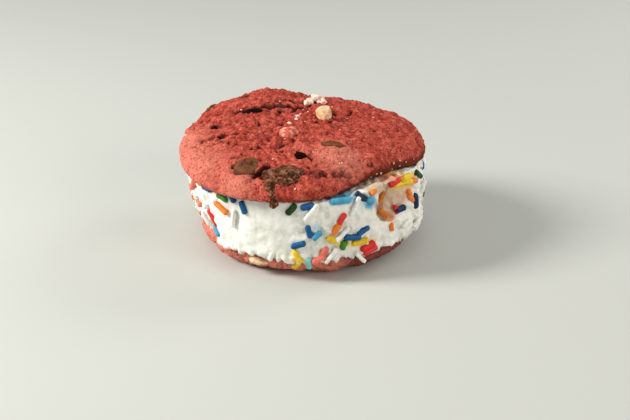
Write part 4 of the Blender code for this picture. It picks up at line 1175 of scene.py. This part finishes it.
class Finish:
    """A material with one Principled shader, whose patterns are in the sandwich's own metres."""

    def __init__(self, name, **constants):
        self.material = bpy.data.materials.new(name)
        self.material.use_nodes = True
        self.tree = self.material.node_tree
        self.shader = self.tree.nodes["Principled BSDF"]
        for title, value in constants.items():
            self.shader.inputs[title.replace("_", " ")].default_value = value
        self.place = self.add("ShaderNodeTexCoord", {}, {}, "Object")

    def put(self, socket, value):
        """Links a node's output, or sets a number or a colour, which may be given by its name."""
        if isinstance(value, Value):
            self.tree.links.new(value.socket, socket)
        elif socket.type == "RGBA":
            socket.default_value = (*COLOURS.get(value, value), 1)
        else:
            socket.default_value = value

    def add(self, kind, settings, sockets, output=0):
        """Any node: its settings first, then the values or links of its sockets."""
        node = self.tree.nodes.new(kind)
        for title, value in settings.items():
            setattr(node, title, value)
        for title, value in sockets.items():
            self.put(node.inputs[title], value)
        return Value(self, node.outputs[output])

    def drive(self, title, value):
        self.put(self.shader.inputs[title], value)

    def grain(self, size, detail=2.0, roughness=0.5, warp=0.0):
        """Soft noise from 0 to 1 whose grains are about size across."""
        sockets = {"Scale": 1 / size, "Detail": detail, "Roughness": roughness, "Distortion": warp}
        return self.add("ShaderNodeTexNoise", {}, {"Vector": self.place, **sockets})

    def cells(self, size):
        """Distance from the middle of the nearest of many cells of about this size, in cells."""
        return self.add("ShaderNodeTexVoronoi", {}, {"Vector": self.place, "Scale": 1 / size}, "Distance")

    def fade(self, value, low, high):
        """0 below low, 1 above high, softly."""
        sockets = {"Value": value, "From Min": low, "From Max": high}
        return self.add("ShaderNodeMapRange", {"interpolation_type": "SMOOTHSTEP"}, sockets)

    def mix(self, start, end, share):
        """From one colour to the other as share goes from 0 to 1."""
        return self.add("ShaderNodeMix", {"data_type": "RGBA"}, {0: share, 6: start, 7: end}, 2)

    def paint(self, base, *layers):
        """The colour of the skin: layers over a base, each a colour and how much of it shows."""
        for colour, share in layers:
            base = self.mix(base, colour, share)
        self.drive("Base Color", base)

    def see_through(self, weight, scale, radius=None):
        """How far light goes in, in all and for red, green and blue."""
        self.drive("Subsurface Weight", weight)
        self.drive("Subsurface Scale", scale)
        if radius:
            self.drive("Subsurface Radius", radius)

    def stored(self, name, output="Fac"):
        return self.add("ShaderNodeAttribute", {"attribute_name": name}, {}, output)

    def relief(self, *reliefs):
        """Fine bumps laid over each other, each a height from 0 to 1 and how far that reaches."""
        under = {}
        for height, distance in reliefs:
            sockets = {"Height": height, "Distance": distance, "Strength": 1.0, **under}
            bump = self.add("ShaderNodeBump", {}, sockets)
            under = {"Normal": bump}
        self.drive("Normal", bump)


def red_cookie_finish():
    """Baked red dough: a dry crumb with painted highlights on its tops and painted shade in its gaps,
    pores, cracks and pits, paler in patches and browned where it lay on the tray. The pale on the upper
    cookie's left rim is partly painted light, and the brown on the shaded side of the rims is partly
    painted shade.
    """
    finish = Finish("red_cookie", Specular_IOR_Level=0.12)
    broad, middling = finish.grain(9 * MM, 3.0), finish.grain(2.4 * MM)
    crumb, fine = finish.grain(0.9 * MM, 4.0, 0.7), finish.grain(0.42 * MM, 2.0, 0.6)
    pores = 1 - finish.fade(finish.cells(1.1 * MM), 0.10, 0.34)
    pale = finish.stored("pale")
    finish.paint(
        finish.mix("dough", "bright_dough", finish.fade(broad, 0.35, 0.65)),
        # paler dough in patches, and on the upper cookie's left rim also painted light
        ("pale_dough", pale * 0.62),
        ("light_patch", finish.fade(middling, 0.52, 0.70) * 0.6),
        ("dark_patch", finish.fade(middling, 0.50, 0.32) * (0.75 - 0.45 * pale)),
        # painted highlight on the crumb's tops, and painted shade in its gaps and pores, following the
        # bumps of the relief below
        ("crumb_highlight", finish.fade(crumb, 0.53, 0.74) * 0.6),
        ("crumb_gap_shade", finish.fade(crumb, 0.49, 0.34) * (0.8 - 0.3 * pale)),
        ("fine_gap_shade", finish.fade(fine, 0.48, 0.34) * (0.8 - 0.4 * pale)),
        ("pore_shade", pores * finish.fade(broad, 0.38, 0.58) * 0.8),
        # painted shade in the cracks, craters and pits
        ("pit_shade", finish.stored("pit_shade") * (0.92 - 0.4 * pale)),
        # browned, and painted shade on the shaded side of the rims
        ("browned_and_shaded", finish.stored("bake_and_shade") * (0.75 + 0.25 * crumb)),
    )
    finish.drive("Roughness", 0.80 + 0.12 * crumb)
    finish.relief((crumb - pores * 0.6, 0.4 * MM), (fine, 0.18 * MM))
    return finish.material


def ice_cream_finish():
    """Soft white ice cream, a little see-through, with colour drawn out of the sprinkles and painted shade
    in its hollow.
    """
    finish = Finish("ice_cream", Specular_IOR_Level=0.45)
    finish.see_through(0.35, 1.6 * MM, (1.0, 0.85, 0.7))
    broad, fine = finish.grain(6 * MM, 3.0), finish.grain(0.8 * MM, 3.0, 0.6)
    blotches = 0.45 + 1.1 * finish.grain(1.8 * MM, 3.0, 0.6, 0.4)
    soak_and_shade = finish.fade(finish.stored("stain_and_shade") * blotches, 0.12, 0.75)
    finish.paint(
        finish.mix("ice_cream_shade", "ice_cream", finish.fade(broad, 0.35, 0.65)),
        # colour drawn out of the sprinkles, and painted shade in the hollow and under the rim
        (finish.stored("stain_and_shade_colour", "Color"), soak_and_shade * 0.92),
    )
    finish.drive("Roughness", 0.36 + 0.25 * broad)
    finish.relief((finish.grain(2.2 * MM, 3.0), 0.35 * MM), (fine, 0.14 * MM))
    return finish.material


def dark_chocolate_finish():
    """Melted chocolate, nearly black and dull."""
    finish = Finish("dark_chocolate", Specular_IOR_Level=0.03)
    cloud = finish.grain(1.6 * MM, 3.0)
    finish.paint("chocolate", ("chocolate_cloud", cloud))
    finish.drive("Roughness", 0.5 + 0.35 * cloud)
    finish.relief((cloud, 0.15 * MM))
    return finish.material


def bloomed_chocolate_finish():
    """A chip with a dull grey-brown bloom, strongest near its rim, and painted shade round its very edge,
    where it meets the dough.
    """
    finish = Finish("bloomed_chocolate", Specular_IOR_Level=0.12)
    crumb, rim = finish.grain(1.2 * MM, 4.0, 0.6), finish.stored("rim")
    finish.paint(
        finish.mix("chip", "chip_cloud", finish.fade(crumb, 0.40, 0.60)),
        ("bloom", finish.fade(rim, 0.25, 0.70) * 0.6),
        # painted shade where the chip meets the dough
        ("chip_edge", finish.fade(rim, 0.78, 1.0) * 0.8),
    )
    finish.drive("Roughness", 0.62 + 0.2 * crumb)
    finish.relief((crumb, 0.18 * MM))
    return finish.material


def broken_chocolate_finish():
    """Torn chocolate: pale dusty crumbs, with painted highlight on their tops and painted shade in the
    hollows between them.
    """
    finish = Finish("broken_chocolate", Specular_IOR_Level=0.06)
    broad, crumb = finish.grain(3.4 * MM), finish.grain(1.2 * MM, 5.0, 0.7, 0.4)
    finish.paint(
        finish.mix("torn_chocolate", "torn_cloud", finish.fade(broad, 0.40, 0.60)),
        # pale dust and painted highlight on the crumbs' tops, and painted shade in the hollows, both
        # following the bumps of the relief
        ("chocolate_dust_and_highlight", finish.fade(crumb, 0.51, 0.64) * 0.85),
        ("chocolate_hollow_shade", finish.fade(crumb, 0.48, 0.38) * 0.9),
    )
    finish.drive("Roughness", 0.7 + 0.25 * crumb)
    finish.relief((crumb, 0.3 * MM))
    return finish.material


def white_chocolate_finish():
    """A creamy chip that the dough has tinted in patches."""
    finish = Finish("white_chocolate")
    finish.see_through(0.25, 1.5 * MM, (1.0, 0.7, 0.4))
    crumb = finish.grain(1.2 * MM, 3.0)
    finish.paint(
        finish.mix("white_chip", "white_chip_cloud", finish.fade(finish.grain(2.5 * MM), 0.35, 0.65)),
        ("dough_tint", finish.fade(finish.grain(1.6 * MM, 3.0), 0.58, 0.70) * 0.6),
    )
    finish.drive("Roughness", 0.45 + 0.2 * crumb)
    finish.relief((crumb, 0.2 * MM))
    return finish.material


def white_crumb_finish():
    """Broken white chocolate, dusty and tinted by the dough."""
    finish = Finish("white_crumb", Specular_IOR_Level=0.3)
    finish.see_through(0.2, 0.6 * MM)
    crumb = finish.grain(1.0 * MM, 3.0, 0.6)
    finish.paint("tinted_crumb", ("white_crumb", finish.fade(crumb, 0.38, 0.52)))
    finish.drive("Roughness", 0.5 + 0.3 * crumb)
    finish.relief((crumb, 0.25 * MM))
    return finish.material


def coated_chip_finish():
    """White chocolate that shows through a thin film of red dough."""
    finish = Finish("coated_chip", Specular_IOR_Level=0.35)
    patches, crumb = finish.fade(finish.grain(1.8 * MM), 0.46, 0.60), finish.grain(0.9 * MM, 3.0)
    finish.paint("film", ("thin_film", patches), ("film_crumb", finish.fade(crumb, 0.52, 0.70) * 0.8))
    finish.drive("Roughness", 0.55 + 0.3 * crumb)
    finish.relief((crumb, 0.25 * MM))
    return finish.material


def sprinkle_finish(name, colour):
    """Pressed sugar, waxy, a little deeper in cloudy patches."""
    finish = Finish(f"sprinkle_{name}", Specular_IOR_Level=0.22)
    finish.see_through(0.12, 1.0 * MM)
    pale = tuple(part + (SUGAR_WHITE - part) * SUGAR_SHARE for part in colour)
    deep = tuple(part * 0.8 for part in colour)
    cloud = finish.grain(2.0 * MM)
    finish.paint(deep, (pale, finish.fade(cloud, 0.35, 0.7)))
    finish.drive("Roughness", 0.32 + 0.25 * cloud)
    finish.relief((finish.grain(0.6 * MM), 0.06 * MM))
    return finish.material


def floor_finish():
    finish = Finish("floor", Specular_IOR_Level=0.2, Roughness=0.7)
    finish.drive("Base Color", "floor")
    return finish.material


def dress(obj, material, slot=None, replaced=()):
    """Gives a piece its material and ties it to the sandwich."""
    obj.data.materials.append(material)
    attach(obj, "root")
    if replaced:
        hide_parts(*replaced)


def make_floor():
    corners = np.array([(-1, -1, 0), (1, -1, 0), (1, 1, 0), (-1, 1, 0)]) * FLOOR_HALF
    floor = make_mesh("floor", corners, [(0, 1, 2, 3)])
    floor.data.materials.append(floor_finish())


def aim_at(obj, target):
    obj.rotation_euler = (target - obj.location).to_track_quat("-Z", "Y").to_euler()


def make_light(name, place, size, watts, colour):
    """A round soft light that shines at the sandwich."""
    light = bpy.data.lights.new(name, "AREA")
    light.shape = "DISK"
    light.size = size
    light.energy = watts
    light.color = colour
    obj = add_object(name, light)
    obj.location = place
    aim_at(obj, LIGHTS_AIM)


def make_lights_and_camera():
    for name, light in LIGHTS.items():
        make_light(name, *light)
    world = bpy.data.worlds.new("studio")
    bpy.context.scene.world = world
    world.use_nodes = True
    sky = world.node_tree.nodes["Background"]
    sky.inputs["Color"].default_value = (*COLOURS["sky"], 1)
    sky.inputs["Strength"].default_value = SKY_STRENGTH
    camera = add_object("camera", bpy.data.cameras.new("camera"))
    camera.location = CAMERA_PLACE
    aim_at(camera, CAMERA_AIM)
    camera.data.lens = CAMERA_LENS
    camera.data.sensor_width = SENSOR
    camera.data.clip_start = 0.01
    bpy.context.scene.camera = camera
    bpy.context.scene.view_settings.view_transform = "Standard"


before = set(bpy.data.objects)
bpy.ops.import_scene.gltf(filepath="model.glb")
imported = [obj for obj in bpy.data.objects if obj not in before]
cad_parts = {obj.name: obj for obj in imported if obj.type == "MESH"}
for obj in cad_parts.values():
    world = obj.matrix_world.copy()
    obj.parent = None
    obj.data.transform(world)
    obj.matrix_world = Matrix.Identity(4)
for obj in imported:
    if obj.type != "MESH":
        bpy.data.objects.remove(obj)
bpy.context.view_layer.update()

cookie_material = red_cookie_finish()
top = make_top_cookie()
dress(top, cookie_material, "red_cookie", ["top_cookie"])
dress(make_low_cookie(), cookie_material, "red_cookie", ["bottom_cookie"])
ice = make_ice_cream()
stain_and_shade_ice(ice)
ice_tree = surface_of(ice)
rods = make_sprinkles(sprinkle_places(), ice_tree)
white_places, dark_places = speck_places([surface_of(top), ice_tree], random.Random(SPRINKLE_SEED + 4))
dress(ice, ice_cream_finish(), "ice_cream", ["ice_cream"])
for colour_name, rod_piece in rods.items():
    dress(rod_piece, sprinkle_finish(colour_name, SPRINKLE_COLOURS[colour_name]))
finishes = {
    "chocolate": (dark_chocolate_finish(), "chocolate"),
    "chocolate_bloomed": (bloomed_chocolate_finish(), "chocolate"),
    "chocolate_broken": (broken_chocolate_finish(), "chocolate"),
    "white_chocolate": (white_chocolate_finish(), "white_chocolate"),
    "white_crumb": (white_crumb_finish(), "white_chocolate"),
    "coated_chip": (coated_chip_finish(), "coated_chip"),
}
for chip_piece, chip_node, finish_name in make_pieces():
    dress(chip_piece, *finishes[finish_name], [chip_node])
speck_chance = random.Random(SPRINKLE_SEED + 5)
dress(make_specks("white_crumbs", white_places, speck_chance), *finishes["white_crumb"])
dress(make_specks("dark_crumbs", dark_places, speck_chance), *finishes["chocolate_broken"])
make_floor()
make_lights_and_camera()
